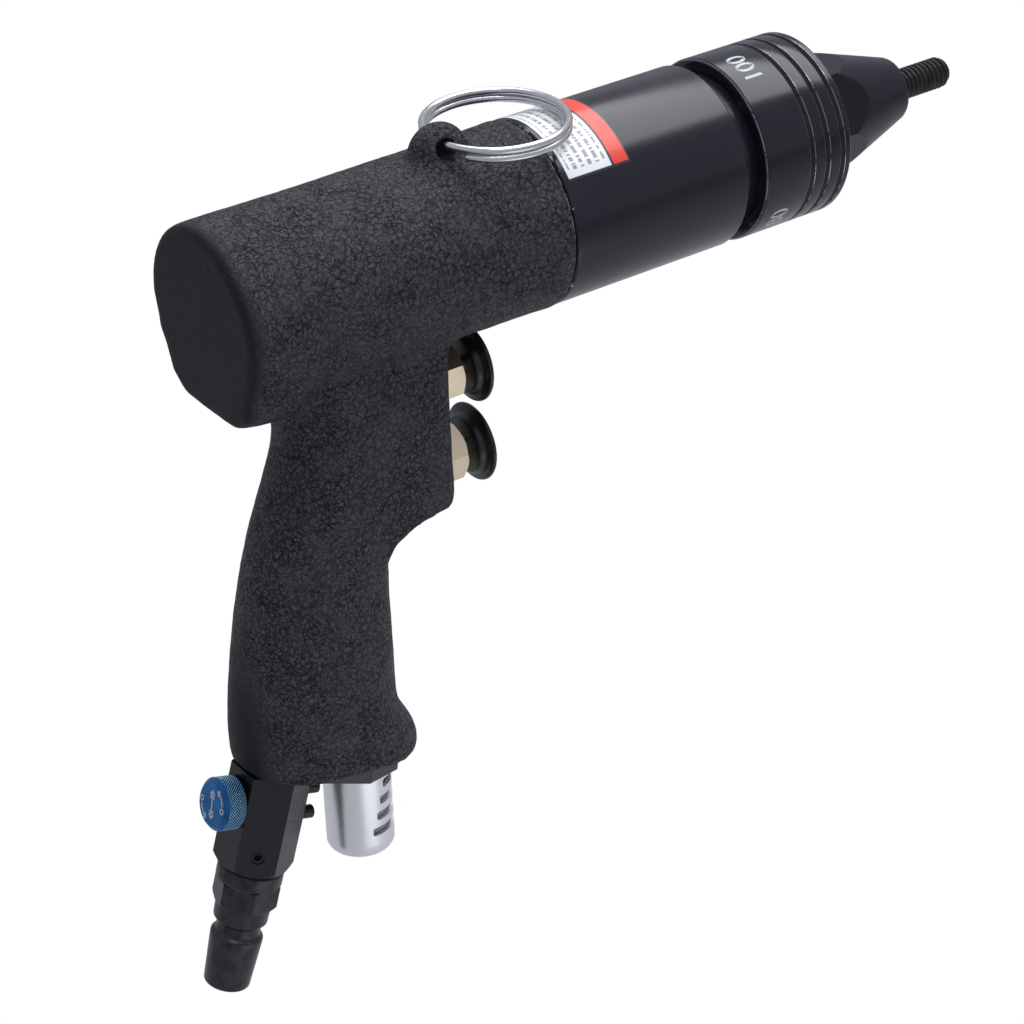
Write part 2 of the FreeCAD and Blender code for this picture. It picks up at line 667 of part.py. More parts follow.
def gearbox():
    module, sun, planet = (DRIVING_SIZES[name] for name in ("gear_module", "sun_teeth", "planet_teeth"))
    orbit = module * (sun + planet) / 2
    pins = []
    for index in range(3):
        angle = 120 * index
        y, z = orbit * math.sin(math.radians(angle)), orbit * math.cos(math.radians(angle))
        wheel = gear(f"planet_{index + 1}_blank", size("planet_teeth"), y, z, planet_phase(angle))
        hole = cylinder(f"planet_{index + 1}_hole", size("pin_radius") + size("running_gap"), 12,
                        (size("gear_rear") - 1, y, z))
        keep(cut(f"planet_{index + 1}_cut", wheel, [hole]), f"planet_gear_{index + 1}")
        pins.append(cylinder(f"pin_{index + 1}", size("pin_radius"), 11.5, (size("gear_rear") - 0.2, y, z)))
    keep(group("pin_group", pins), "planet_pins")
    ring_gear()
    spindle([(orbit * math.sin(math.radians(120 * index)), orbit * math.cos(math.radians(120 * index)))
             for index in range(3)])


def ring_gear():
    teeth = DRIVING_SIZES["ring_teeth"]
    planet = DRIVING_SIZES["planet_teeth"]
    phase = (planet_phase(0) * planet + 180) / teeth
    blank = cylinder("ring_blank", size("motor_bore") - 0.1, size("spigot_rear") - size("gear_rear") + 1.2,
                     (size("gear_rear") - 1.5, 0, 0))
    body = new_body("ring_gap")
    sketch = new_sketch(body, "ring_outline", "YZ_Plane")
    corners = [FreeCAD.Vector(u, v, 0) for u, v in tooth_points(teeth, phase, True)]
    for start, end in zip(corners, corners[1:] + corners[:1]):
        sketch.addGeometry(Part.LineSegment(start, end), False)
    pad = body.newObject("PartDesign::Pad", "ring_gap_pad")
    pad.Profile = sketch
    bind(pad, "Length", 20)
    place(body, (size("gear_rear") - 4, 0, 0))
    keep(cut("ring_shape", blank, [body]), "ring_gear")


def spindle(pin_places):
    """The planet carrier with the output shaft that ends in a hexagonal drive."""
    plate = size("gear_front") + 0.6
    blank = turned("spindle_turned", [(plate, 0), (plate, 11.4), (plate + 3, 11.4), (plate + 3, 6),
                                      (-116, 6), (-116, 5), (-72, 5), (-72, 0)])
    holes = [cylinder(f"pin_seat_{index}", size("pin_radius") + 0.01, 5, (plate - 1, y, z))
             for index, (y, z) in enumerate(pin_places, start=1)]
    drive = prism("spindle_drive", 8.0, 10, (-72, 0, 0), "x")
    keep(fuse("spindle_shape", [cut("spindle_drilled", blank, holes), drive]), "spindle")
    bearing("spindle_bearing", -125.0, 8.0, 6.0 + DRIVING_SIZES["running_gap"], 13.98, 9)
    keep(turned("bearing_holder_body", [
        (-126.3, 8), (-126.3, size("barrel_bore") - 0.1), (-115, size("barrel_bore") - 0.1), (-115, 14),
        (-125.1, 14), (-125.1, 8)]), "bearing_holder")


def clutch():
    """The size-setting clutch: driving disc, driven disc, spring and preload ring."""
    keep(tube("clutch_driver_body", -113, -107, 12, 5.02), "clutch_driver")
    keep(tube("clutch_disc_body", -106.8, -101, 12, 5.3), "clutch_disc")
    keep(coil_spring("clutch_spring_wire", 9.0, 0.9, 4.2, 5, "x", (-99.9, 0, 0)), "clutch_spring")
    keep(tube("preload_ring_body", -77.4, -73.4, size("barrel_bore") - 0.1, 6.2), "preload_ring")


def coil_spring(name, radius, wire, pitch, turns, facing, start):
    """A round-wire compression spring swept along a helix."""
    spine = doc.addObject("Part::Helix", name + "_helix")
    bind(spine, "Radius", radius)
    bind(spine, "Pitch", pitch)
    bind(spine, "Height", pitch * turns)
    section = doc.addObject("Part::Circle", name + "_section")
    bind(section, "Radius", wire)
    section.Placement = FreeCAD.Placement(FreeCAD.Vector(radius, 0, 0),
                                          FreeCAD.Rotation(FreeCAD.Vector(1, 0, 0), 90))
    sweep = doc.addObject("Part::Sweep", name)
    sweep.Sections = [section]
    sweep.Spine = (spine, ["Edge1"])
    sweep.Solid = True
    sweep.Frenet = True
    place(sweep, start, FACE_TOWARDS[facing])
    return sweep


# ---------------------------------------------------------------- trigger valves

def valve(side, hexagon_turn):
    """One trigger: button, stem, screwed brass body and return spring."""
    height = size(side + "_valve")
    rim, radius, drum = size("button_rim"), size("button_radius"), size("drum_radius")
    rear, face, end = size("drum_rear"), size("valve_face"), size("valve_end")
    stem = size("stem_radius")
    button = turned(side + "_button_body", [
        (rear, 0), (rear, drum - 0.5), (rear + 0.5, drum), (rim - 0.9, drum), (rim - 0.6, radius - 0.1),
        (rim, radius), (rim + 0.6, radius - 0.4), (rim + 1.3, radius - 3), (rim + 1.6, 0)])
    place(button, (0, 0, height))
    keep(button, side + "_button")
    front = size("bulge_front")
    hexagon = prism(side + "_valve_hexagon", size("valve_hex"), face - front, (front + 0.05, 0, height),
                    "x", hexagon_turn)
    crown = turned(side + "_valve_crown", [(front, 0), (front, 7.6), (face - 0.9, 7.6), (face, 6.4), (face, 0)])
    place(crown, (0, 0, height))
    shank = cylinder(side + "_valve_thread", size("valve_shank"), front - end + 1, (end, 0, height))
    bore = cylinder(side + "_valve_bore", stem + size("running_gap"), 40, (end - 1, 0, height))
    head = common(side + "_valve_head", [hexagon, crown])
    keep(cut(side + "_valve_shape", fuse(side + "_valve_blank", [head, shank]), [bore]),
         side + "_valve_body")
    rod_body = turned(side + "_stem_body", [
        (end - 2.3, 0), (end - 2.3, 3.4), (end - 0.3, 3.4), (end - 0.3, stem), (rear, stem), (rear, 0)])
    place(rod_body, (0, 0, height))
    keep(rod_body, side + "_valve_stem")
    keep(coil_spring(side + "_spring_wire", 2.9, 0.35, 1.5, 5, "x", (end - 10.6, 0, height)),
         side + "_valve_spring")


# ---------------------------------------------------------------- air inlet

def inlet_rotation():
    return FreeCAD.Rotation(FreeCAD.Vector(0, 1, 0), DRIVING_SIZES["inlet_tilt"])


def on_inlet(thing, point=(0, 0, 0), rotation=None):
    """Place a thing in the inlet's own frame: Z up its slanted axis, X square to it, forwards."""
    frame = inlet_rotation()
    shift = frame.multVec(FreeCAD.Vector(*(as_size(number).value for number in point)))
    turn = frame if rotation is None else frame.multiply(rotation)
    place(thing, (size("inlet_station") + shift.x, shift.y, size("inlet_height") + shift.z), turn)
    return thing


def upright(thing, point=(0, 0, 0)):
    """Stand a body that was turned about X up along the inlet's axis."""
    return on_inlet(thing, point, FreeCAD.Rotation(FreeCAD.Vector(0, 1, 0), -90))


def inlet_block():
    """The hexagonal inlet body with the cross bore for the flow spool."""
    shoulder, top = size("block_shoulder"), size("block_top")
    blank = upright(turned("block_turned", [
        (0.2, 5.1), (0.2, 8.2), (shoulder, 10.2), (top, 10.2), (top, 3.5), (9.5, 3.5), (9.5, 5.1)]))
    hexagon = block_hexagon("block_hexagon", size("block_hex"))
    neck = cylinder("block_neck", 6.0, 12, (0, 0, 0), "z")
    on_inlet(neck, (0, 0, 24.8))
    channel = on_inlet(cylinder("block_channel", 3.5, 60, (0, 0, 0), "z"), (0, 0, 5))
    spool_hole = on_inlet(cylinder("block_spool_hole", size("spool_radius") + size("running_gap"), 40,
                                   (0, 0, 0)), (-20, 0, size("spool_height")), FACE_TOWARDS["x"])
    body = cut("block_faced", common("block_flats", [blank, hexagon]), [butt_space("block_roof", 0.5)])
    holes = [spool_hole, channel, set_screw_solid("block_set_screw_hole", 1.85, 0)]
    for index, (side, height) in enumerate(RETAINER_PLACES, start=1):
        hole = cylinder(f"retainer_hole_{index}", 1.3, 6, (0, 0, 0))
        holes.append(on_inlet(hole, (4.0, side, height), FACE_TOWARDS["x"]))
    keep(cut("block_shape", fuse("block_necked", [body, neck]), holes), "inlet_block")


SET_SCREW_HEIGHT = 6.4
RETAINER_PLACES = [(-3.0, 14.9), (-3.0, 21.9)]


def set_screw_solid(name, radius, recess):
    """A plug in the block's side flat, square to that flat."""
    turn = FreeCAD.Rotation(FreeCAD.Vector(0, 0, 1), -120).multiply(FACE_TOWARDS["x"])
    reach = 8.9 - recess
    start = FreeCAD.Rotation(FreeCAD.Vector(0, 0, 1), -120).multVec(FreeCAD.Vector(5.2, 0, 0))
    solid = cylinder(name, radius, reach - 5.2, (0, 0, 0))
    return on_inlet(solid, (start.x, start.y, SET_SCREW_HEIGHT), turn)


def inlet_screws():
    screw = set_screw_solid("set_screw_blank", 1.8, 0.5)
    turn = FreeCAD.Rotation(FreeCAD.Vector(0, 0, 1), -120)
    start = turn.multVec(FreeCAD.Vector(7.2, 0, 0))
    socket = on_inlet(prism("set_screw_socket", 1.9, 3, (0, 0, 0)), (start.x, start.y, SET_SCREW_HEIGHT),
                      turn.multiply(FACE_TOWARDS["x"]))
    keep(cut("set_screw_shape", screw, [socket]), "set_screw")
    screws = []
    for index, (side, height) in enumerate(RETAINER_PLACES, start=1):
        shank = on_inlet(cylinder(f"retainer_shank_{index}", 1.25, 5, (0, 0, 0)), (4.5, side, height),
                         FACE_TOWARDS["x"])
        head = on_inlet(cylinder(f"retainer_head_{index}", 1.7, 3.4, (0, 0, 0)),
                        (size("block_hex") / 2 + 0.05, side, height), FACE_TOWARDS["x"])
        socket = on_inlet(prism(f"retainer_socket_{index}", 1.9, 2.4, (0, 0, 0)), (10.9, side, height),
                          FACE_TOWARDS["x"])
        screws.append(cut(f"retainer_{index}", fuse(f"retainer_blank_{index}", [shank, head]), [socket]))
    keep(group("retainer_group", screws), "spool_retaining_screws")


def flow_control():
    """The knurled knob and the spool that it turns."""
    face, length, radius = size("knob_face"), size("knob_length"), size("knob_radius")
    knob = turned("knob_body", [(-face, 0), (-face, radius - 1.1), (-face + 1.1, radius),
                                (-face + length - 0.4, radius), (-face + length, radius - 0.4),
                                (-face + length, 0)])
    keep(on_inlet(knob, (0, 0, size("spool_height"))), "flow_knob")
    spool = on_inlet(turned("spool_turned", [(-9.5, 0), (-9.5, size("spool_radius")),
                                             (8.6, size("spool_radius")), (8.6, 2.4), (10.6, 2.4),
                                             (10.6, 0)]), (0, 0, size("spool_height")))
    port = on_inlet(cylinder("spool_port", 1.9, 20, (0, 0, 0), "z"), (0, 0, size("spool_height") - 10))
    keep(cut("spool_shape", spool, [port]), "flow_spool")


def air_plug():
    """The swivelling quick-connect plug below the block."""
    nut_top, nut_low, shoulder, tip = -4.1, -10.8, -15.6, size("plug_tip")
    blank = upright(turned("plug_turned", [
        (8.5, 2.6), (8.5, 5.0), (nut_top, 5.0), (nut_top, 8.9), (nut_low + 1.8, 8.9), (nut_low, 7.0),
        (nut_low, 6.9), (shoulder + 0.8, 6.8), (shoulder, 5.9), (shoulder - 0.6, 5.6), (-18.4, 5.6),
        (-19.2, 6.6), (-20.6, 6.6), (tip + 0.6, 5.8), (tip, 5.2), (tip, 3.4), (tip + 12, 2.6)]))
    flats = on_inlet(doc.addObject("Part::Prism", "plug_hexagon"), (0, 0, nut_low),
                     FreeCAD.Rotation(FreeCAD.Vector(0, 0, 1), 12))
    flats.Polygon = 6
    bind(flats, "Circumradius", size("plug_hex") / math.sqrt(3))
    bind(flats, "Height", nut_top - nut_low)
    lower = on_inlet(cylinder("plug_below_nut", 7.0, 40, (0, 0, 0), "z"), (0, 0, nut_low - 40))
    upper = on_inlet(cylinder("plug_above_nut", 5.5, 20, (0, 0, 0), "z"), (0, 0, nut_top))
    keep(common("plug_shape", [blank, fuse("plug_envelope", [flats, lower, upper])]), "air_plug")
    keep(upright(tube("swivel_ring_body", -4.0, 0.1, 8.3, 5.1)), "swivel_ring")
    seal = on_inlet(doc.addObject("Part::Torus", "seal_ring"), (0, 0, 9.05))
    bind(seal, "Radius1", 4.2)
    bind(seal, "Radius2", 0.45)
    keep(seal, "inlet_seal")


# ---------------------------------------------------------------- exhaust

def muffler():
    """A thin cup with four slots across its front, screwed up into the grip."""
    roof, low, outer = size("muffler_roof"), size("muffler_bottom"), size("muffler_radius")
    wall, neck = size("muffler_wall"), size("muffler_neck")
    cup = turned("muffler_turned", [
        (low, 0), (low, outer - 1.6), (low + 0.5, outer - 0.5), (low + 1.6, outer),
        (roof + 8, outer), (roof + 8, 3.8), (roof, 3.8), (roof, outer - wall),
        (low + 1.5, outer - wall), (low + 1.5, 0)])
    cup.Placement.Rotation = FreeCAD.Rotation(FreeCAD.Vector(0, 1, 0), -90)
    place(cup, (size("muffler_station"), 0, 0))
    slots = []
    for index in range(4):
        half_angle = (99, 90, 83, 74)[index]
        slot = muffler_slot(index + 1, half_angle, size("slot_middle") + index * size("slot_pitch"))
        slots.append(slot)
    body = cut("muffler_cup", cup, slots + [above_underside("muffler_limit")])
    pipe = tube("muffler_neck_body", roof + 0.1, neck, 5.0, 3.8)
    pipe.Placement.Rotation = FreeCAD.Rotation(FreeCAD.Vector(0, 1, 0), -90)
    place(pipe, (size("muffler_station"), 0, 0))
    keep(fuse("muffler_shape", [body, pipe]), "muffler")
    screen = tube("screen_body", low + 1.6, roof - 0.2, outer - wall - 0.1, outer - wall - 0.5)
    screen.Placement.Rotation = FreeCAD.Rotation(FreeCAD.Vector(0, 1, 0), -90)
    place(screen, (size("muffler_station"), 0, 0))
    keep(screen, "muffler_screen")
    felt = tube("felt_body", low + 1.7, roof - 0.3, outer - wall - 0.8, 3.4)
    felt.Placement.Rotation = FreeCAD.Rotation(FreeCAD.Vector(0, 1, 0), -90)
    place(felt, (size("muffler_station"), 0, 0))
    keep(felt, "muffler_felt")


def muffler_slot(number, half_angle, middle):
    """A slot through the cup's front wall that spans an angle to each side."""
    slot = doc.addObject("Part::Cylinder", f"muffler_slot_{number}")
    bind(slot, "Radius", size("muffler_radius") + 1)
    bind(slot, "Height", size("slot_height"))
    slot.Angle = 2 * half_angle
    place(slot, (size("muffler_station"), 0, middle - size("slot_height") / 2),
          FreeCAD.Rotation(FreeCAD.Vector(0, 0, 1), -half_angle))
    core = cylinder(f"muffler_slot_core_{number}", size("muffler_radius") - size("muffler_wall") - 0.3, 4,
                    (size("muffler_station"), 0, middle - 2), "z")
    return cut(f"muffler_window_{number}", slot, [core])


# ---------------------------------------------------------------- hanging ring

def hanging_ring():
    """Two turns of wire lying on each other, as one band."""
    body = new_body("ring_band")
    sketch = new_sketch(body, "ring_section", "XZ_Plane")
    wire, radius = size("wire_radius"), size("hanging_radius")
    rise = wire * 1.03
    draw_outline(sketch, [
        (radius - wire, -rise - wire * 0.4), (radius - wire * 0.4, -rise - wire),
        (radius + wire * 0.4, -rise - wire), (radius + wire, -rise - wire * 0.4),
        (radius + wire, rise + wire * 0.4), (radius + wire * 0.4, rise + wire),
        (radius - wire * 0.4, rise + wire), (radius - wire, rise + wire * 0.4)])
    turn = body.newObject("PartDesign::Revolution", "ring_turn")
    turn.Profile = sketch
    turn.ReferenceAxis = (sketch, ["V_Axis"])
    turn.Angle = 360
    place(body, (size("lug_station") + radius, 0, size("lug_height")))
    keep(body, "hanging_ring")


# ---------------------------------------------------------------- build, check and write

def add_grip_sizes():
    for index, values in enumerate(GRIP_STATIONS, start=1):
        for word, value in zip(("height", "rear", "front", "half"), values):
            DRIVING_SIZES[f"grip_{word}_{index}"] = value


def check_document():
    doc.recompute()
    for thing in doc.Objects:
        if "Invalid" in thing.State or "Error" in thing.State:
            raise RuntimeError(f"{thing.Name} failed: {thing.State}")
    for node in nodes:
        if node.Shape.isNull() or not node.Shape.isValid() or not node.Shape.Solids:
            raise RuntimeError(f"{node.Label} has no valid shape")


def write_nodes():
    os.makedirs("parts", exist_ok=True)
    for node in nodes:
        node.Shape.exportStep(f"parts/{node.Label}.step")
        print(f"{node.Label}: {len(node.Shape.Solids)} solid(s), {node.Shape.Volume:.1f} mm3")


add_grip_sizes()
fill_sheet(DRIVING_SIZES)
housing()
butt_plate()
butt_screws()
barrel()
collar()
nose_holder()
nosepiece()
mandrel()
chuck()
label()
motor()
gearbox()
clutch()
valve("upper", 0)
valve("lower", 18)
inlet_block()
inlet_screws()
flow_control()
air_plug()
muffler()
hanging_ring()
check_document()
write_nodes()
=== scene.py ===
import functools
import math

import bmesh
import bpy
import numpy as np
from mathutils import Matrix, Vector, noise


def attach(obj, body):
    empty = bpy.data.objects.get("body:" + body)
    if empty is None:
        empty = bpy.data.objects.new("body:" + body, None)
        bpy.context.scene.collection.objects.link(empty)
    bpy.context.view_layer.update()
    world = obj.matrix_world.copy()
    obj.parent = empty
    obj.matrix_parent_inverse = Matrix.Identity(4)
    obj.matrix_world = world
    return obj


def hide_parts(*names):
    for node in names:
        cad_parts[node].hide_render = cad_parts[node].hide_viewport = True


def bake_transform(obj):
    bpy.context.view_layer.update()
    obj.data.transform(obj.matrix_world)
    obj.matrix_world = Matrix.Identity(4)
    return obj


# The looks of a pneumatic rivet gun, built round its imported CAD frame. Metres, in the frame's axes:
# +X out of the nose, +Z up, the origin in the middle of the nosepiece's front face.

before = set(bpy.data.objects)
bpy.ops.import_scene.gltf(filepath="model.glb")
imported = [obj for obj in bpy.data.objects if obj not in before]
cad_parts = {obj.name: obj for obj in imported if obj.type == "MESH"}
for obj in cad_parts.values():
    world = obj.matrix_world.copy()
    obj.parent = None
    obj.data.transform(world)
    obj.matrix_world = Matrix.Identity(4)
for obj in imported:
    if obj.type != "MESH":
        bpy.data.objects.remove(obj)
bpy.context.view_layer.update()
MM = 0.001
scene = bpy.context.scene
collection = scene.collection

# Stations in millimetres: the inlet's axis at the butt, and the muffler's upright axis.
INLET_X, BUTT_Z, MUFFLER_X = -200.6, -150.0, -168.9
INLET_TILT = math.radians(17.45)
INLET = Matrix.Translation((INLET_X * MM, 0, BUTT_Z * MM)) @ Matrix.Rotation(INLET_TILT, 4, "Y")
UPRIGHT = Matrix.Rotation(-math.pi / 2, 4, "Y")
SPOOL = INLET @ Matrix.Translation((0, 0, 18.46 * MM))

# ---------------------------------------------------------------- materials

# The two colour inputs and the colour output of a Mix node.
MIX_FIRST, MIX_SECOND, MIX_RESULT = 6, 7, 2


class Paint:
    """A Principled material and short ways to add nodes to it."""

    def __init__(self, name, colour, roughness, metallic=0.0, **sockets):
        self.material = bpy.data.materials.new(name)
        self.material.use_nodes = True
        self.tree = self.material.node_tree
        self.shader = self.tree.nodes["Principled BSDF"]
        self.shader.inputs["Base Color"].default_value = (*colour, 1)
        self.shader.inputs["Roughness"].default_value = roughness
        self.shader.inputs["Metallic"].default_value = metallic
        for socket, value in sockets.items():
            self.shader.inputs[socket.replace("_", " ")].default_value = value
        self.place = self.add("TexCoord").outputs["Object"]
        self.height = None

    def add(self, kind, links=None, **settings):
        """A node; a setting is a property or a socket's value, and links go to sockets."""
        node = self.tree.nodes.new("ShaderNode" + kind)
        for key, value in settings.items():
            if hasattr(node, key):
                setattr(node, key, value)
            else:
                node.inputs[key.replace("_", " ")].default_value = value
        for socket, source in (links or {}).items():
            self.tree.links.new(source, node.inputs[socket])
        return node

    def math(self, operation, first, second=0.0):
        node = self.add("Math", operation=operation)
        for index, value in enumerate((first, second)):
            if isinstance(value, (int, float)):
                node.inputs[index].default_value = value
            else:
                self.tree.links.new(value, node.inputs[index])
        return node.outputs[0]

    def times(self, first, second):
        return self.math("MULTIPLY", first, second)

    def plus(self, first, second):
        return self.math("ADD", first, second)

    def less(self, first, second):
        return self.math("SUBTRACT", first, second)

    def most(self, first, second):
        return self.math("MAXIMUM", first, second)

    def ramp(self, value, low, high):
        """0 below low, 1 above high, and straight between them."""
        return self.add("MapRange", {"Value": value}, From_Min=low, From_Max=high).outputs["Result"]

    def near(self, value, middle, half, soft):
        """1 where a value is within half of the middle, falling to 0 over soft."""
        return self.ramp(self.math("ABSOLUTE", self.less(value, middle)), half + soft, half)

    def noise(self, scale, detail, rough, vector=None):
        return self.add("TexNoise", {"Vector": vector or self.place}, Scale=scale, Detail=detail,
                        Roughness=rough).outputs["Fac"]

    def seams(self, scale, vector):
        """The distance to the nearest border between cells."""
        return self.add("TexVoronoi", {"Vector": vector}, feature="DISTANCE_TO_EDGE",
                        Scale=scale).outputs["Distance"]

    def axes(self):
        node = self.add("SeparateXYZ", {"Vector": self.place})
        return [node.outputs[index] for index in range(3)]

    def stretched(self, scale):
        return self.add("Mapping", {"Vector": self.place}, Scale=scale).outputs["Vector"]

    def mix(self, share, first, second):
        """A colour between two, each a colour or a socket."""
        node = self.add("Mix", data_type="RGBA")
        self.tree.links.new(share, node.inputs[0])
        for socket, value in ((node.inputs[MIX_FIRST], first), (node.inputs[MIX_SECOND], second)):
            if isinstance(value, tuple):
                socket.default_value = (*value, 1)
            else:
                self.tree.links.new(value, socket)
        return node.outputs[MIX_RESULT]

    def set(self, socket, source):
        self.tree.links.new(source, self.shader.inputs[socket])

    def bump(self, height, distance, strength=1.0):
        """Relief on top of the relief that is there already."""
        node = self.add("Bump", {"Height": height}, Strength=strength, Distance=distance)
        if self.height is not None:
            self.tree.links.new(self.height, node.inputs["Normal"])
        self.height = node.outputs["Normal"]
        self.set("Normal", self.height)


def across(paint, first, second):
    """The distance from an axis, from the two coordinates square to it."""
    return paint.math("SQRT", paint.plus(paint.times(first, first),
                                         paint.times(second, second)))


def scaled(colour, share):
    return tuple(share * v for v in colour)


def coating():
    """Thick black wrinkle paint: shrunken plates with fine cracks between them, and grit."""
    paint = Paint("wrinkle_coating", (0.015, 0.0155, 0.019), 0.5, Specular_IOR_Level=0.45)
    x, y, z = paint.axes()
    wobble = paint.add("TexNoise", {"Vector": paint.place}, Scale=620, Detail=4, Roughness=0.65)
    bent = paint.add("MixRGB", {"Color1": paint.place, "Color2": wobble.outputs["Color"]},
                     Fac=0.0032).outputs["Color"]
    cracks = paint.ramp(paint.seams(650, bent), 0.0, 0.12)
    fine = paint.ramp(paint.seams(1150, bent), 0.0, 0.17)
    patches = paint.ramp(paint.noise(130, 3, 0.6), 0.36, 0.6)
    # The flat rear face has a smoother coat than the rest; its colour is painted darker, as painted
    # shade, and its gloss is lower.
    side = paint.ramp(x, -0.2003, -0.197)
    crackle = paint.times(side, paint.plus(0.62, paint.times(patches, 0.38)))
    plates = paint.times(cracks, crackle)
    small = paint.times(fine, paint.plus(0.15, paint.times(crackle, 0.5)))
    grit = paint.noise(2300, 4, 0.8)
    lumps = paint.noise(560, 4, 0.7)
    for height, distance in ((lumps, 0.0004), (plates, 0.0003), (small, 0.00012), (grit, 0.0003)):
        paint.bump(height, distance)
    shade = paint.ramp(grit, 0.3, 0.7)
    gap = paint.most(paint.times(paint.less(1.0, cracks), crackle),
                     paint.times(paint.less(1.0, fine), paint.times(crackle, 0.55)))
    base = paint.mix(shade, (0.043, 0.0435, 0.050), (0.110, 0.112, 0.128))
    # Painted shade: the rear face's colour is darker.
    base = paint.mix(side, (0.018, 0.0182, 0.022), base)
    # Painted shade in the cracks: their colour is darkened almost to black.
    dark = paint.mix(gap, base, (0.005, 0.005, 0.006))
    speck = paint.ramp(paint.noise(2900, 2, 0.6), 0.67, 0.72)
    bright = paint.mix(paint.times(speck, 0.6), dark, (0.22, 0.225, 0.24))
    # The coat is rubbed through in places along its front edge, at the barrel.
    worn = paint.times(paint.ramp(x, -0.11508, -0.11478),
                       paint.times(paint.ramp(across(paint, y, z), 0.0222, 0.0224),
                                   paint.ramp(paint.noise(260, 4, 0.7), 0.5, 0.56)))
    paint.set("Base Color", paint.mix(worn, bright, (0.62, 0.6, 0.56)))
    paint.set("Metallic", worn)
    sheen = paint.times(paint.less(1.0, paint.times(gap, 0.9)),
                        paint.plus(0.15, paint.times(paint.times(shade, side), 0.5)))
    paint.set("Specular IOR Level", sheen)
    rough = paint.plus(0.42, paint.times(grit, 0.2))
    paint.set("Roughness", paint.less(rough, paint.times(worn, 0.2)))
    return paint.material


def anodised(name, colour, roughness, rings=(), stretch=(3.2, 0.05, 0.05),
             wear_and_glint_colour=(0.5, 0.5, 0.5), gloss=0.5):
    """Smooth black anodising with fine turning lines, dust, and rings of bare metal where an edge
    runs round: worn edges, and on the collar painted glints as well. Each ring is (station along X,
    half its width, how much more of it is bared)."""
    paint = Paint(name, colour, roughness, Specular_IOR_Level=gloss)
    lines = paint.noise(900, 3, 0.6, paint.stretched(stretch))
    smear = paint.noise(38, 4, 0.6)
    paint.bump(lines, 0.000012, 0.5)
    paint.bump(paint.noise(1500, 3, 0.7), 0.000012, 0.4)
    scuff = paint.ramp(paint.noise(700, 5, 0.75, paint.stretched((0.3, 1, 1))), 0.66, 0.72)
    rough = paint.plus(roughness - 0.05, paint.times(smear, 0.1))
    rough = paint.plus(rough, paint.times(lines, 0.06))
    paint.set("Roughness", paint.plus(rough, paint.times(scuff, 0.12)))
    pale = tuple(1.6 * v + 0.001 for v in colour)
    base = paint.mix(paint.ramp(smear, 0.3, 0.7), colour, pale)
    dust = paint.ramp(paint.noise(4200, 2, 0.5), 0.735, 0.76)
    base = paint.mix(paint.times(dust, 0.5), base, (0.3, 0.3, 0.32))
    if rings:
        x = paint.axes()[0]
        streaks = paint.noise(210, 5, 0.75, paint.stretched((0.02, 1, 1)))
        bands = [paint.times(paint.near(x, station, half, 0.00006),
                             paint.ramp(streaks, 0.56 - amount, 0.62 - amount))
                 for station, half, amount in rings]
        # Bare-metal rings: worn edges, and on the collar painted glints along the groove edges.
        wear_and_glint = functools.reduce(paint.most, bands)
        base = paint.mix(wear_and_glint, base, wear_and_glint_colour)
        paint.set("Metallic", wear_and_glint)
    paint.set("Base Color", base)
    return paint.material


def oxide(name, colour, roughness, metallic=0.45, grain=1.0, rubbing=0.35):
    """Black oxide on steel: slightly mottled, thinly oiled, a little rubbed."""
    paint = Paint(name, colour, roughness, metallic, Specular_IOR_Level=0.6)
    mottle = paint.noise(330, 5, 0.65)
    pits = paint.noise(2600, 3, 0.7)
    paint.bump(pits, 0.00003 * grain, 0.6)
    paint.bump(mottle, 0.00004 * grain, 0.4)
    rubbed = paint.ramp(paint.noise(900, 5, 0.8), 0.64, 0.74)
    base = paint.mix(paint.ramp(mottle, 0.35, 0.65), scaled(colour, 0.6), scaled(colour, 1.7))
    paint.set("Base Color", paint.mix(paint.times(rubbed, rubbing), base, (0.2, 0.2, 0.2)))
    paint.set("Roughness", paint.plus(roughness - 0.1, paint.times(mottle, 0.24)))
    return paint.material


def metal(name, colour, roughness, line_scale, stretch, tint=0.12, depth=0.000012):
    """Bare machined metal with tool lines along one direction and slight stains."""
    paint = Paint(name, colour, roughness, 1.0)
    lines = paint.noise(line_scale, 4, 0.65, paint.stretched(stretch))
    stain = paint.noise(120, 4, 0.6)
    paint.bump(lines, depth, 0.6)
    tone = paint.plus(paint.times(lines, 0.5), paint.times(stain, 0.5))
    paint.set("Base Color",
              paint.mix(paint.ramp(tone, 0.35, 0.65), scaled(colour, 1 - tint), colour))
    paint.set("Roughness", paint.plus(roughness - 0.06, paint.times(tone, 0.14)))
    return paint.material


def moulded(name, colour, roughness, specular=0.5, grain=1800):
    """Moulded plastic or rubber with a fine grain."""
    paint = Paint(name, colour, roughness, 0.0, Specular_IOR_Level=specular)
    fine = paint.noise(grain, 3, 0.6)
    cloud = paint.noise(90, 3, 0.5)
    paint.bump(fine, 0.00003, 0.5)
    paint.set("Base Color", paint.mix(cloud, scaled(colour, 0.8), scaled(colour, 1.3)))
    paint.set("Roughness", paint.plus(roughness - 0.06, paint.times(fine, 0.14)))
    return paint.material


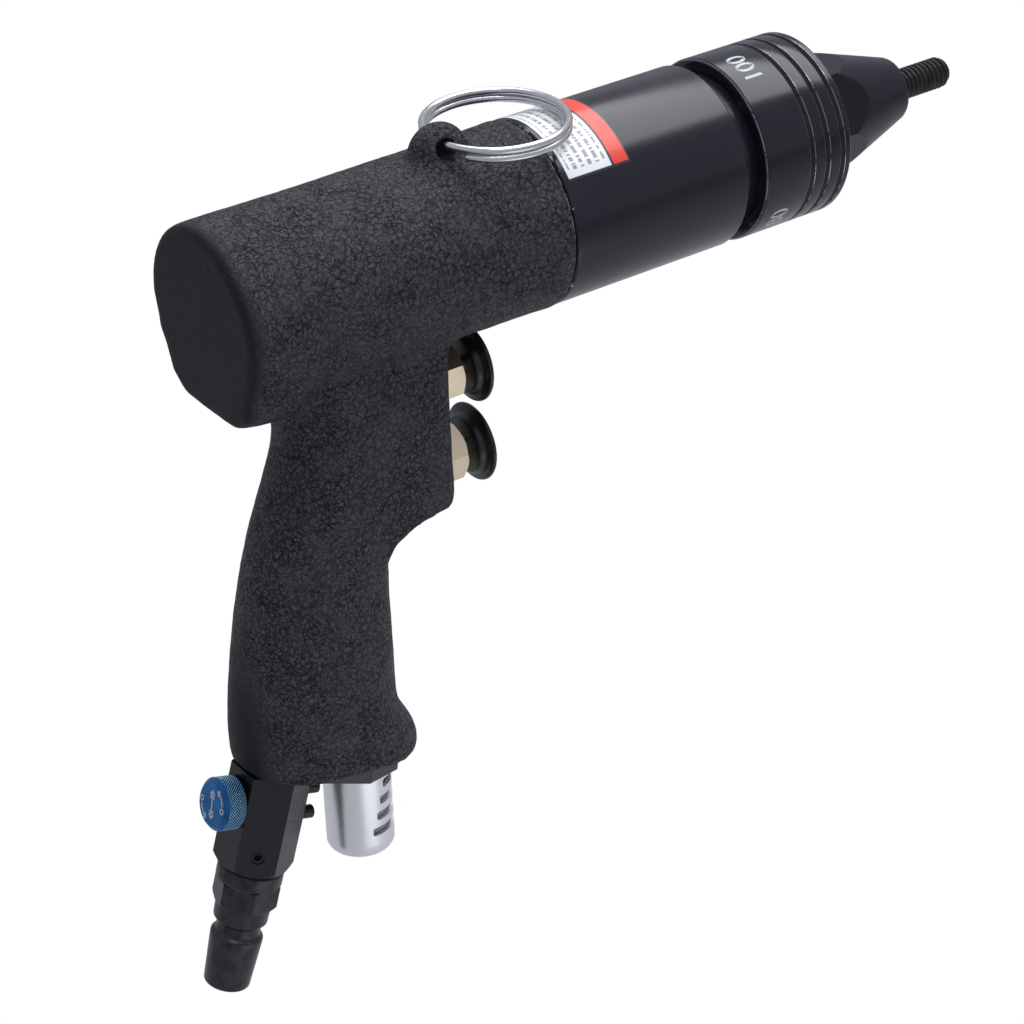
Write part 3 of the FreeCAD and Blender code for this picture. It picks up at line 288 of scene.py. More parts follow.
def blue_anodised():
    """Blue anodising, paler on the knurl's rubbed crests, which also carry a painted highlight, and
    darker in its grooves as painted shade.
    """
    paint = Paint("blue_anodised", (0.01, 0.11, 0.33), 0.3, 0.6)
    local = paint.add("Mapping", {"Vector": paint.place}, Rotation=(0, -INLET_TILT, 0),
                      Location=tuple(-(SPOOL.to_3x3().inverted() @ SPOOL.to_translation())))
    parts = paint.add("SeparateXYZ", {"Vector": local.outputs["Vector"]}).outputs
    reach = across(paint, parts[1], parts[2])
    spread = paint.noise(300, 4, 0.6)
    fine = paint.noise(2500, 3, 0.7)
    paint.bump(fine, 0.000015, 0.6)
    base = paint.mix(paint.ramp(spread, 0.35, 0.65), (0.008, 0.115, 0.33), (0.024, 0.19, 0.52))
    rim = paint.ramp(reach, 0.0052, 0.0056)
    knurled = paint.ramp(parts[0], -0.0145, -0.0143)
    # Painted highlight and real rubbing: the knurl's crests are paler.
    crest_wear_and_highlight = paint.times(paint.ramp(reach, 0.00648, 0.00656), knurled)
    base = paint.mix(paint.times(rim, 0.4), base, (0.004, 0.05, 0.17))
    # Painted shade: the knurl's grooves are darker.
    groove = paint.times(paint.less(1.0, paint.ramp(reach, 0.0063, 0.0065)), knurled)
    base = paint.mix(groove, base, (0.001, 0.02, 0.09))
    base = paint.mix(crest_wear_and_highlight, base, (0.4, 0.75, 1.0))
    rubbed = paint.ramp(paint.noise(1700, 5, 0.8), 0.66, 0.74)
    paint.set("Base Color", paint.mix(paint.times(rubbed, 0.3), base, (0.3, 0.55, 0.8)))
    paint.set("Roughness", paint.plus(0.24, paint.times(spread, 0.14)))
    return paint.material


def sticker():
    """A plain printed sticker: a white field with rows of dashes, and a red band, with thin
    black borders."""
    paint = Paint("sticker_print", (0.85, 0.85, 0.85), 0.32, 0.0, Coat_Weight=0.3)
    x, y, z = paint.axes()
    turn = paint.math("ARCTAN2", y, z)
    grime = paint.noise(240, 4, 0.6)
    white = paint.mix(paint.ramp(grime, 0.35, 0.75), (0.97, 0.97, 0.98), (0.88, 0.89, 0.91))
    red = paint.mix(paint.ramp(grime, 0.3, 0.7), (0.93, 0.06, 0.025), (0.85, 0.045, 0.02))
    face = paint.mix(paint.ramp(x, -0.09995, -0.0999), white, red)
    line_pitch = 0.0021
    line = paint.times(paint.plus(x, 0.1128), 1 / line_pitch)
    row = paint.near(paint.math("FRACT", line), 0.5, 0.2, 0.08)
    spot = paint.add("CombineXYZ", {"X": paint.math("FLOOR", line), "Y": paint.times(turn, 26.0)})
    words = paint.ramp(paint.noise(1, 1, 0.3, spot.outputs["Vector"]), 0.44, 0.48)
    block = paint.times(paint.near(x, -0.1064, 0.0052, 0.0001), paint.near(turn, 0.0, 0.78, 0.01))
    ink = paint.times(paint.times(row, words), block)
    face = paint.mix(paint.times(ink, 0.72), face, (0.1, 0.1, 0.11))
    ends = paint.most(paint.ramp(x, -0.09548, -0.09543), paint.ramp(x, -0.11245, -0.1125))
    edge = paint.most(paint.ramp(paint.math("ABSOLUTE", turn), 0.862, 0.866),
                      paint.most(paint.near(x, -0.0999, 0.0003, 0.00005), ends))
    paint.set("Base Color", paint.mix(edge, face, (0.02, 0.02, 0.022)))
    paint.bump(grime, 0.00003, 0.5)
    paint.set("Roughness", paint.plus(0.24, paint.times(grime, 0.2)))
    return paint.material


def woven(name, colour, pitch, metallic, roughness):
    """Two crossing sets of threads round the muffler's axis, for a wire screen or felt."""
    paint = Paint(name, colour, roughness, metallic)
    x, y, z = paint.axes()
    radius = 0.0075
    turn = paint.times(paint.math("ARCTAN2", y, paint.plus(x, -MUFFLER_X * MM)), radius)
    threads = []
    for direction in (turn, z):
        wave = paint.math("SINE", paint.times(direction, 2 * math.pi / pitch))
        threads.append(paint.math("ABSOLUTE", wave))
    weave = paint.most(*threads)
    paint.bump(weave, 0.00012, 0.9)
    fleck = paint.noise(2400, 3, 0.6)
    lit = paint.times(paint.ramp(weave, 0.45, 0.95), paint.plus(0.6, paint.times(fleck, 0.6)))
    paint.set("Base Color", paint.mix(lit, scaled(colour, 0.2), colour))
    paint.set("Roughness", paint.plus(roughness - 0.05, paint.times(fleck, 0.1)))
    return paint.material


def ink(name, colour):
    """Laser-marked metal: pale and slightly uneven."""
    paint = Paint(name, colour, 0.55)
    patchy = paint.noise(1500, 4, 0.7)
    paint.bump(patchy, 0.00002, 0.5)
    base = paint.mix(paint.ramp(patchy, 0.35, 0.65), scaled(colour, 0.7), colour)
    paint.set("Base Color", base)
    paint.set("Roughness", paint.plus(0.45, paint.times(patchy, 0.2)))
    return paint.material


# Rings of wear and painted glint: station, half width and added wear, in metres. The collar's rings
# are painted glints along its groove edges as well as wear.
BARREL_RINGS = ((-0.1140, 0.00028, 0.0), (-0.0635, 0.00022, 0.02))
COLLAR_WEAR_AND_GLINT_RINGS = tuple((station, 0.00005, 0.12) for station in (
    -0.05790, -0.04465, -0.04315, -0.03995, -0.03845, -0.03525, -0.03375))
LOOKS = {
    "coating": coating(),
    "barrel": anodised("barrel_anodising", (0.005, 0.0055, 0.0105), 0.19, BARREL_RINGS),
    "collar": anodised("collar_anodising", (0.0045, 0.0047, 0.0095), 0.16, COLLAR_WEAR_AND_GLINT_RINGS,
                       wear_and_glint_colour=(0.3, 0.31, 0.34)),
    "nose": anodised("nose_blacking", (0.0045, 0.005, 0.0095), 0.26, gloss=0.3),
    "plate": anodised("plate_anodising", (0.0045, 0.0047, 0.008), 0.24,
                      stretch=(0.05, 0.05, 3.2)),
    "thread": oxide("thread_blacking", (0.03, 0.029, 0.027), 0.4, 0.6),
    "plug": oxide("plug_blacking", (0.026, 0.026, 0.03), 0.3, rubbing=0.8),
    "screw": oxide("screw_blacking", (0.012, 0.012, 0.012), 0.3),
    "brass": metal("valve_brass", (0.93, 0.78, 0.56), 0.24, 1400, (0.3, 1, 1)),
    "bronze": metal("bush_bronze", (0.62, 0.42, 0.22), 0.34, 1400, (3, 0.1, 0.1)),
    "zinc": metal("zinc_wire", (0.76, 0.77, 0.78), 0.2, 600, (1, 1, 1), 0.1, 0.00002),
    "aluminium": metal("turned_aluminium", (0.90, 0.905, 0.92), 0.28, 900, (0.06, 0.06, 3), 0.07),
    "steel": metal("ground_steel", (0.52, 0.52, 0.53), 0.3, 1200, (3, 0.1, 0.1)),
    "spring": metal("spring_steel", (0.45, 0.46, 0.48), 0.28, 900, (1, 1, 1)),
    "button": moulded("button_plastic", (0.008, 0.008, 0.009), 0.3, 0.55),
    "vane": moulded("vane_composite", (0.24, 0.13, 0.06), 0.6, 0.4, 900),
    "rubber": moulded("black_rubber", (0.014, 0.014, 0.014), 0.7, 0.4),
    "blue": blue_anodised(),
    "label": sticker(),
    "screen": woven("wire_screen", (0.36, 0.37, 0.39), 0.0011, 0.6, 0.45),
    "felt": woven("felt_weave", (0.5, 0.5, 0.48), 0.0017, 0.0, 0.9),
    "mark": ink("laser_mark", (0.72, 0.73, 0.74)),
}

# ---------------------------------------------------------------- making pieces


def piece(name, verts, faces, look, body, slot, stands_for=(), sharp=32.0, place=None):
    """A piece from vertices in metres and faces; a place moves it there first."""
    mesh = bpy.data.meshes.new(name)
    mesh.from_pydata([tuple(v) for v in verts], [], [tuple(f) for f in faces])
    if place is not None:
        mesh.transform(place)
    return finish_piece(name, mesh, look, body, stands_for, sharp)


def finish_piece(name, mesh, look, body, stands_for=(), sharp=32.0):
    """A piece from a mesh, with smooth faces and sharp edges over an angle in degrees. It rides on
    its body; one without a body is attached to nothing."""
    tidy = bmesh.new()
    tidy.from_mesh(mesh)
    bmesh.ops.recalc_face_normals(tidy, faces=tidy.faces)
    tidy.to_mesh(mesh)
    tidy.free()
    mesh.validate()
    mesh.shade_smooth()
    mesh.set_sharp_from_angle(angle=math.radians(sharp))
    mesh.materials.clear()
    mesh.materials.append(LOOKS[look])
    made = bpy.data.objects.new(name, mesh)
    collection.objects.link(made)
    if body is not None:
        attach(made, body)
    if stands_for:
        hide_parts(*stands_for)
    return made


def rounded(points, radius, steps=3, closed=False):
    """A profile with each corner rounded by up to a radius."""
    count, result = len(points), []
    for index, point in enumerate(points):
        corner = Vector(point)
        if not closed and index in (0, count - 1):
            result.append(tuple(corner))
            continue
        before, after = Vector(points[index - 1]), Vector(points[(index + 1) % count])
        room = min((before - corner).length, (after - corner).length) * 0.45
        reach = min(radius, room)
        first = corner + (before - corner).normalized() * reach
        last = corner + (after - corner).normalized() * reach
        for step in range(steps + 1):
            share = step / steps
            result.append(tuple(first.lerp(corner, share).lerp(corner.lerp(last, share), share)))
    return result


def round_x(station, radius, angle):
    """A point in metres at a radius in millimetres round the X axis."""
    return (station * MM, radius * math.sin(angle) * MM, radius * math.cos(angle) * MM)


def turned(profile, segments, flats=(), closed=False, wave=None):
    """Vertices and faces of a profile of (station, radius) in millimetres turned about X.
    Each flat is (low station, high station, apothem, turn in degrees) of a hexagon. A wave gives
    what is added to the radius at a station, radius and angle."""
    verts, faces = [], []
    rows = len(profile)
    sixth = math.pi / 3
    for station, radius in profile:
        for step in range(segments):
            angle = 2 * math.pi * step / segments
            reach = radius
            for low, high, apothem, turn in flats:
                if low <= station <= high:
                    sector = (angle - math.radians(turn) + sixth / 2) % sixth - sixth / 2
                    reach = min(reach, apothem / math.cos(sector))
            if wave is not None:
                reach += wave(station, radius, angle)
            verts.append(round_x(station, reach, angle))
    for row in range(rows if closed else rows - 1):
        following = (row + 1) % rows
        for step in range(segments):
            beside = (step + 1) % segments
            faces.append((row * segments + step, row * segments + beside,
                          following * segments + beside, following * segments + step))
    if not closed:
        for row in (0, rows - 1):
            faces.append([row * segments + step for step in range(segments)])
    return verts, faces


def between(profile, spacing):
    """A profile with extra points so that no step is longer than a spacing."""
    result = [profile[0]]
    for first, last in zip(profile, profile[1:]):
        steps = max(1, math.ceil(math.dist(first, last) / spacing))
        for step in range(1, steps + 1):
            share = step / steps
            result.append(tuple(a + (b - a) * share for a, b in zip(first, last)))
    return result


# ---------------------------------------------------------------- housing


def smoothed(verts, edges, strength, rounds, moving=(0, 1, 2)):
    """Each vertex moves towards the mean of its neighbours, by its own strength, each round."""
    count = len(verts)
    valence = np.maximum(np.bincount(edges.ravel(), minlength=count), 1)
    for _ in range(rounds):
        for axis in moving:
            line = verts[:, axis]
            total = (np.bincount(edges[:, 0], line[edges[:, 1]], count)
                     + np.bincount(edges[:, 1], line[edges[:, 0]], count))
            verts[:, axis] = line + strength * (total / valence - line)
    return verts


def ease(values, low, high):
    """0 below low, 1 above high, and a smooth step between them."""
    share = np.clip((values - low) / (high - low), 0, 1)
    return share * share * (3 - 2 * share)


def evaluated_mesh(holder):
    """The mesh that an object shows, with its modifiers; the object itself is removed."""
    bpy.context.view_layer.update()
    graph = bpy.context.evaluated_depsgraph_get()
    mesh = bpy.data.meshes.new_from_object(holder.evaluated_get(graph))
    bpy.data.objects.remove(holder)
    return mesh


def vertex_rows(mesh, field):
    """One row of three numbers for each vertex: its place or its normal."""
    rows = np.zeros(len(mesh.vertices) * 3)
    mesh.vertices.foreach_get(field, rows)
    return rows.reshape(-1, 3)


def housing_skin():
    """The cast housing: the CAD solid with every edge rounded and every corner filled softly."""
    source = bpy.data.objects.new("skin_source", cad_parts["housing"].data.copy())
    collection.objects.link(source)
    remesh = source.modifiers.new("remesh", "REMESH")
    remesh.mode = "VOXEL"
    remesh.voxel_size = 0.0007
    mesh = evaluated_mesh(source)
    verts = vertex_rows(mesh, "co")
    edges = np.zeros(len(mesh.edges) * 2, np.int64)
    mesh.edges.foreach_get("vertices", edges)
    edges = edges.reshape(-1, 2)
    x, y, z = verts.T.copy()
    # What may move: the outside, away from the bore and from the joint with the barrel.
    outside = ease(np.hypot(y, z), 0.0195, 0.0205) + ease(-z, 0.018, 0.02)
    free = np.clip(outside, 0, 1) * (1 - ease(x, -0.119, -0.116))
    # What keeps more of its shape: the lug round its hole, the rear face, the butt and the chin
    # under the buttons.
    ear = ease(z, 0.0205, 0.0225) * ease(x, -0.150, -0.146) * (1 - ease(x, -0.130, -0.126))
    hole = 1 - ease(np.hypot(x + 0.1372, z - 0.02465), 0.0029, 0.0036)
    back = 1 - ease(x, -0.1985, -0.195)
    butt = 1 - ease(z + np.tan(math.radians(9)) * (x + 0.2005), -0.1200, -0.1160)
    chin = ease(x, -0.172, -0.166) * (1 - ease(z, -0.056, -0.050)) * ease(z, -0.068, -0.064)
    crisp = np.clip(np.maximum(back, butt), 0, 1)
    smoothed(verts, edges, 0.5 * free * (1 - ear * hole) * (1 - 0.5 * crisp), 7)
    firm = np.clip(np.maximum(np.maximum(ear, chin), np.maximum(0.6 * back, butt)), 0, 1)
    smoothed(verts, edges, 0.5 * free * (1 - firm), 26)
    # The web between tail and grip is rounded most; the tail's lower corners are then filled out.
    web = (ease(x, -0.197, -0.192) * (1 - ease(x, -0.182, -0.176))
           * ease(z, -0.042, -0.036) * (1 - ease(z, -0.024, -0.020)))
    smoothed(verts, edges, 0.5 * free * web, 60)
    flare = free * (1 - ease(x, -0.1985, -0.170))
    verts[:, 1:] *= (1 + 0.02 * flare * ease(z, -0.016, -0.008))[:, None]
    verts[:, 1] *= 1 + 0.12 * flare * ease(-z, 0.010, 0.023) * (1 - ease(-z, 0.024, 0.030))
    lobe = back * (1 - ease(z, -0.004, 0.002))
    smoothed(verts, edges, 0.5 * lobe, 14, (1, 2))
    mesh.vertices.foreach_set("co", verts.ravel())
    mesh.update()
    normals = vertex_rows(mesh, "normal")
    # The casting's shallow dents, always inwards.
    for index in np.nonzero(free * (1 - ear) > 0.05)[0]:
        spot = Vector(verts[index])
        dent = (0.00009 * (noise.noise(spot * 170) + 0.6)
                + 0.00006 * (noise.noise(spot * 620) + 0.6))
        verts[index] -= normals[index] * max(0.0, dent) * free[index] * (1 - ear[index])
    mesh.vertices.foreach_set("co", verts.ravel())
    # The front end is cut square just behind the barrel's shoulder.
    trim = bmesh.new()
    trim.from_mesh(mesh)
    bmesh.ops.bisect_plane(trim, geom=trim.verts[:] + trim.edges[:] + trim.faces[:],
                           plane_co=(-0.11462, 0, 0), plane_no=(1, 0, 0), clear_outer=True)
    rims = [edge for edge in trim.edges if edge.is_boundary]
    bmesh.ops.bridge_loops(trim, edges=rims)
    trim.to_mesh(mesh)
    trim.free()
    finish_piece("housing_skin", mesh, "coating", "body", ("housing",), 62)


# ---------------------------------------------------------------- barrel, collar and nose

AROUND = 192
NOSE_TIP, NOSE_SLOPE = 8.05, 0.317
THREAD_PITCH, THREAD_DEPTH = 1.411, 0.74


def nose_radius(back):
    """The nose cone's radius at a distance behind its front face."""
    return NOSE_TIP + NOSE_SLOPE * back


def barrel_line():
    """The barrel, the collar with its three grooves and the nose with its hexagon flats."""
    barrel = rounded([(-127.5, 17.9), (-127.5, 20.2), (-114.2, 20.2), (-114.2, 22.1),
                      (-113.7, 22.6), (-64.0, 22.6), (-63.3, 21.9), (-63.3, 19.6), (-37.0, 19.6),
                      (-37.0, 15.5), (-66.0, 15.5), (-66.0, 17.9)], 0.25, 3, True)
    piece("barrel_shell", *turned(barrel, AROUND, closed=True), "barrel", "body",
          "black_anodised", ("barrel",))
    front, outer = -31.3, 22.75
    points = [(front - 1.9, 12.6), (front - 1.9, 19.65), (-58.2, 19.65), (-58.2, outer - 0.6),
              (-57.6, outer)]
    for number in (3, 2, 1):
        middle = front - 3.2 - (number - 1) * 4.7
        points += [(middle - 0.75, outer), (middle, outer - 0.9), (middle + 0.75, outer)]
    points += [(front - 1.0, outer), (front, outer - 1.0), (front, 12.6)]
    piece("collar_shell", *turned(rounded(points, 0.14, 3, True), AROUND, closed=True),
          "collar", "collar", "black_anodised", ("setting_collar",), 24)
    nose = ([(-46.1, 7.0), (-46.1, 12.0), (-31.1, 12.0)]
            + between([(-31.1, nose_radius(31.1)), (-0.8, nose_radius(0.8))], 0.4)
            + rounded([(-0.8, 8.30), (-0.25, 8.0), (0, 7.45), (0, 4.12)], 0.25)[1:]
            + [(-8, 4.12), (-10.9, 7.0)])
    piece("nose_cone", *turned(nose, 288, [(-31.2, 0.1, 13.5, 0)], True), "nose", "body",
          "black_oxide", ("nosepiece",), 24)


def thread(station, radius, angle):
    """The mandrel's thread as a wave; it fades in at the nose and out over the rounded tip."""
    if not 0.05 <= station <= 18.2:
        return 0.0
    phase = (station / THREAD_PITCH + angle / (2 * math.pi)) % 1.0
    valley = min(1.0, max(0.0, 1.25 * abs(2 * phase - 1) - 0.25))
    fade = min(1.0, station / 0.5) * min(1.0, max(0.0, radius - 1.4) / 2.2)
    return -THREAD_DEPTH * valley * fade


def mandrel():
    tip = rounded([(16.4, 3.97), (17.5, 3.5), (18.5, 2.5), (18.5, 0.9)], 0.7, 5)
    line = ([(-60, 5.2), (-59.6, 5.7), (-50.4, 5.7), (-50, 5.2), (-50, 3.5), (0, 3.5)]
            + between([(0.05, 3.97), (16.3, 3.97)], 0.088) + between(tip, 0.12) + [(18.5, 0.2)])
    piece("mandrel_threaded", *turned(line, 96, [(-60.1, -49.9, 5.0, 30)], wave=thread),
          "thread", "spindle", "black_oxide", ("mandrel",), 70)


def lettering(text, height):
    """Numerals as flat mesh data, centred, of a height in millimetres."""
    curve = bpy.data.curves.new("numerals", "FONT")
    curve.body = text
    curve.align_x, curve.align_y = "CENTER", "CENTER"
    curve.size = height * 1.42
    curve.offset = 0.016 * height
    curve.resolution_u = 4
    holder = bpy.data.objects.new("numerals", curve)
    collection.objects.link(holder)
    mesh = evaluated_mesh(holder)
    verts = [tuple(v.co) for v in mesh.vertices]
    faces = [tuple(f.vertices) for f in mesh.polygons]
    bpy.data.meshes.remove(mesh)
    return verts, faces


def collar_scale():
    """Plain numerals, marked round the rear of the collar."""
    verts, faces = [], []
    for text, turn in (("100", 15), ("120", -42), ("80", 125), ("60", 200), ("40", 270)):
        glyphs, shapes = lettering(text, 5.0)
        start = len(verts)
        for u, v, _ in glyphs:
            verts.append(round_x(-51.4 - v, 22.765, u / 22.76 - math.radians(turn)))
        faces.extend(tuple(start + index for index in shape) for shape in shapes)
    piece("collar_scale", verts, faces, "mark", "collar", "black_anodised")


def sticker_piece():
    """A thin curved slab on the barrel's top, as two grids joined round their rim."""
    verts, faces = [], []
    columns, rows = 72, 12
    for radius in (22.608, 22.665):
        for row in range(rows + 1):
            for column in range(columns + 1):
                turn = math.radians(51.0) * (2 * column / columns - 1)
                station = -112.78 + 17.76 * row / rows
                verts.append(round_x(station, radius, turn))
    span = columns + 1
    layer = span * (rows + 1)
    for row in range(rows):
        for column in range(columns):
            low = row * span + column
            faces.append((low, low + 1, low + span + 1, low + span))
            low += layer
            faces.append((low, low + span, low + span + 1, low + 1))
    ring = (list(range(columns)) + [row * span + columns for row in range(rows)]
            + [rows * span + column for column in range(columns, 0, -1)]
            + [row * span for row in range(rows, 0, -1)])
    for first, last in zip(ring, ring[1:] + ring[:1]):
        faces.append((first, last, layer + last, layer + first))
    piece("barrel_sticker", verts, faces, "label", "body", "label_print", ("barrel_label",), 40)


# ---------------------------------------------------------------- ring, triggers


def swept(path, radius, sides=20):
    """A round wire along a path, with slightly rounded ends."""
    points = [Vector(p) for p in path]
    verts, faces, rings = [], [], []
    side = Vector((0, 0, 1))
    for index, point in enumerate(points):
        ahead = (points[min(index + 1, len(points) - 1)] - points[max(index - 1, 0)]).normalized()
        side = (side - ahead * side.dot(ahead)).normalized()
        rings.append((point, ahead, side.copy(), radius))
    first, last = rings[0], rings[-1]
    rings.insert(0, (first[0] - first[1] * radius * 0.25, first[1], first[2], radius * 0.72))
    rings.append((last[0] + last[1] * radius * 0.25, last[1], last[2], radius * 0.72))
    for point, ahead, up, reach in rings:
        over = ahead.cross(up)
        for step in range(sides):
            angle = 2 * math.pi * step / sides
            verts.append((point + (up * math.cos(angle) + over * math.sin(angle)) * reach) * MM)
    for row in range(len(rings) - 1):
        for step in range(sides):
            beside = (step + 1) % sides
            faces.append((row * sides + step, row * sides + beside, (row + 1) * sides + beside,
                          (row + 1) * sides + step))
    faces.append(list(range(sides)))
    faces.append([(len(rings) - 1) * sides + step for step in range(sides)])
    return verts, faces


def hanging_ring():
    """A split ring: two turns of wire that lie on each other and cross over in one place."""
    path = []
    start, steps, turns, reach = math.radians(212), 260, 1.87, 16.8
    for step in range(steps + 1):
        turn = step / steps * turns
        cross = min(1.0, max(0.0, (turn - 0.866) / 0.09))
        height = -0.945 + 1.89 * cross * cross * (3 - 2 * cross)
        angle = start + turn * 2 * math.pi
        path.append((-120.4 + reach * math.cos(angle), reach * math.sin(angle), 24.65 + height))
    piece("split_ring", *swept(path, 0.925), "zinc", "ring", "zinc_wire", ("hanging_ring",), 50)


def triggers():
    """For each of the two buttons its cap, its brass valve body and a spring behind it."""
    for side, height, turn in (("upper", -33.7, 30), ("lower", -55.4, 12)):
        lift = Matrix.Translation((0, 0, height * MM))
        button = rounded([(-133.2, 0.4), (-133.2, 6.9), (-132.7, 7.4), (-132.1, 7.42),
                          (-131.6, 7.7), (-131.3, 8.3), (-131.1, 9.1), (-130.85, 9.75),
                          (-130.3, 9.9), (-129.8, 9.6), (-129.1, 7.0), (-128.75, 0.4)], 0.28, 3)
        piece(f"{side}_button_cap", *turned(button, 128), "button", f"{side}_trigger",
              "button_plastic", (f"{side}_button",), 34, lift)
        body = ([(-160, 2.45), (-160, 5.5), (-142.85, 5.5), (-142.85, 7.5)]
                + between([(-142.8, 7.6), (-136.6, 7.6), (-135.7, 6.4)], 0.25) + [(-135.7, 2.45)])
        piece(f"{side}_valve_brass", *turned(body, 240, [(-143, -135.6, 6.5, turn)], True),
              "brass", "body", "brass", (f"{side}_valve_body",), 25, lift)
        coil = [(-170.6 + 1.5 * count, 2.9 * math.sin(2 * math.pi * count),
                 height + 2.9 * math.cos(2 * math.pi * count))
                for count in np.linspace(0, 5, 181)]
        spring = piece(f"{side}_spring_coil", *swept(coil, 0.35, 12), "spring", None, "steel",
                       (f"{side}_valve_spring",), 50)
        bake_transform(spring)


# ---------------------------------------------------------------- inlet and exhaust

KNOB_FACE, KNOB_RADIUS, KNOB_END = -15.55, 6.57, -9.55


def knurl(station, radius, angle):
    """The knob's diamond knurl as a wave, on its side only."""
    if radius < KNOB_RADIUS - 0.05 or not KNOB_FACE + 1.2 < station < KNOB_END - 0.45:
        return 0.0
    along, turns = station / 0.7, 58 * angle / (2 * math.pi)
    groove = 0.0
    for phase in (along + turns, along - turns):
        groove = max(groove, 1 - abs(2 * (phase % 1.0) - 1) / 0.5)
    return -0.42 * max(0.0, groove)


def stroke(points, width):
    """A flat band of even width along a path in a plane."""
    verts, faces = [], []
    for index, point in enumerate(points):
        before, after = points[max(index - 1, 0)], points[min(index + 1, len(points) - 1)]
        run = Vector((after[0] - before[0], after[1] - before[1])).normalized()
        for side in (-0.5, 0.5):
            verts.append((point[0] - run.y * side * width, point[1] + run.x * side * width))
    for index in range(len(points) - 1):
        faces.append((2 * index, 2 * index + 1, 2 * index + 3, 2 * index + 2))
    return verts, faces


def swing(radius, angle, centre=(0.0, 0.0)):
    """A point in a plane at a radius and an angle round a centre."""
    return (centre[0] + radius * math.cos(angle), centre[1] + radius * math.sin(angle))


def knob_marks():
    """A double-headed line and two curved arrows, each with a small circle, on the knob's face."""
    verts, faces = [], []

    def lay(shape):
        start = len(verts)
        verts.extend((KNOB_FACE * MM - 0.00001, -u * MM, v * MM) for u, v in shape[0])
        faces.extend(tuple(start + index for index in face) for face in shape[1])

    def arrow(tip, heading, length):
        for side in (-1, 1):
            turn = heading + math.pi + side * 0.66
            lay(stroke([tip, swing(length, turn, tip)], 0.38))

    lean = math.radians(101)
    for end, heading in ((1, lean), (-1, lean + math.pi)):
        reach = swing(3.6 * end, lean)
        lay(stroke([(0, 0), reach], 0.42))
        arrow(reach, heading, 1.5)
        arrow((reach[0] * 0.72, reach[1] * 0.72), heading, 1.35)
        base = math.radians(16 if end == 1 else 196)
        arc = [swing(4.45, base + t) for t in np.linspace(math.radians(4), math.radians(56), 12)]
        lay(stroke(arc, 0.38))
        arrow(arc[-1], base + math.radians(56) + math.pi / 2, 1.15)
        centre = swing(4.4, base - 0.2)
        lay(stroke([swing(0.62, t, centre) for t in np.linspace(0, 2 * math.pi, 21)], 0.32))
    piece("knob_marks", verts, faces, "mark", "flow", "blue_anodised", place=SPOOL)


def inlet_parts():
    """The flow knob, the air plug and its swivelling ring."""
    side = between([(KNOB_FACE + 1.15, KNOB_RADIUS), (KNOB_END - 0.4, KNOB_RADIUS)], 0.07)
    rim = rounded([(KNOB_FACE, 5.0), (KNOB_FACE, KNOB_RADIUS - 1.05),
                   (KNOB_FACE + 1.05, KNOB_RADIUS - 0.02), (KNOB_FACE + 1.12, KNOB_RADIUS - 0.01)],
                  0.2)[1:]
    knob = ([(KNOB_FACE, 0.3), (KNOB_FACE, 4.9)] + rim + side
            + [(KNOB_END, KNOB_RADIUS - 0.45), (KNOB_END, 0.3)])
    piece("knob_knurled", *turned(knob, 580, wave=knurl), "blue", "flow", "blue_anodised",
          ("flow_knob",), 45, SPOOL)
    knob_marks()
    upright = INLET @ UPRIGHT
    plug = ([(8.5, 2.6), (8.5, 5.0), (-4.1, 5.0)]
            + between([(-4.1, 8.2), (-4.7, 8.9), (-9.0, 8.9), (-10.8, 7.0)], 0.3)
            + rounded([(-10.8, 6.95), (-14.8, 6.8), (-15.6, 5.9), (-16.2, 5.6), (-18.4, 5.6),
                       (-19.2, 6.6), (-20.6, 6.6), (-33.0, 5.8), (-33.6, 5.2), (-33.6, 3.4)],
                      0.35, 3)
            + [(-21.6, 2.6)])
    piece("plug_turned", *turned(plug, 192, [(-10.75, -4.05, 7.3, 18)], True), "plug", "plug",
          "black_oxide", ("air_plug",), 28, upright)
    ring = rounded([(-4.0, 5.1), (-4.0, 8.0), (-3.6, 8.3), (-0.3, 8.3), (0.1, 7.9), (0.1, 5.1)],
                   0.15, 3, True)
    piece("swivel_ring_turned", *turned(ring, 144, closed=True), "plug", "plug", "black_oxide",
          ("swivel_ring",), 28, upright)


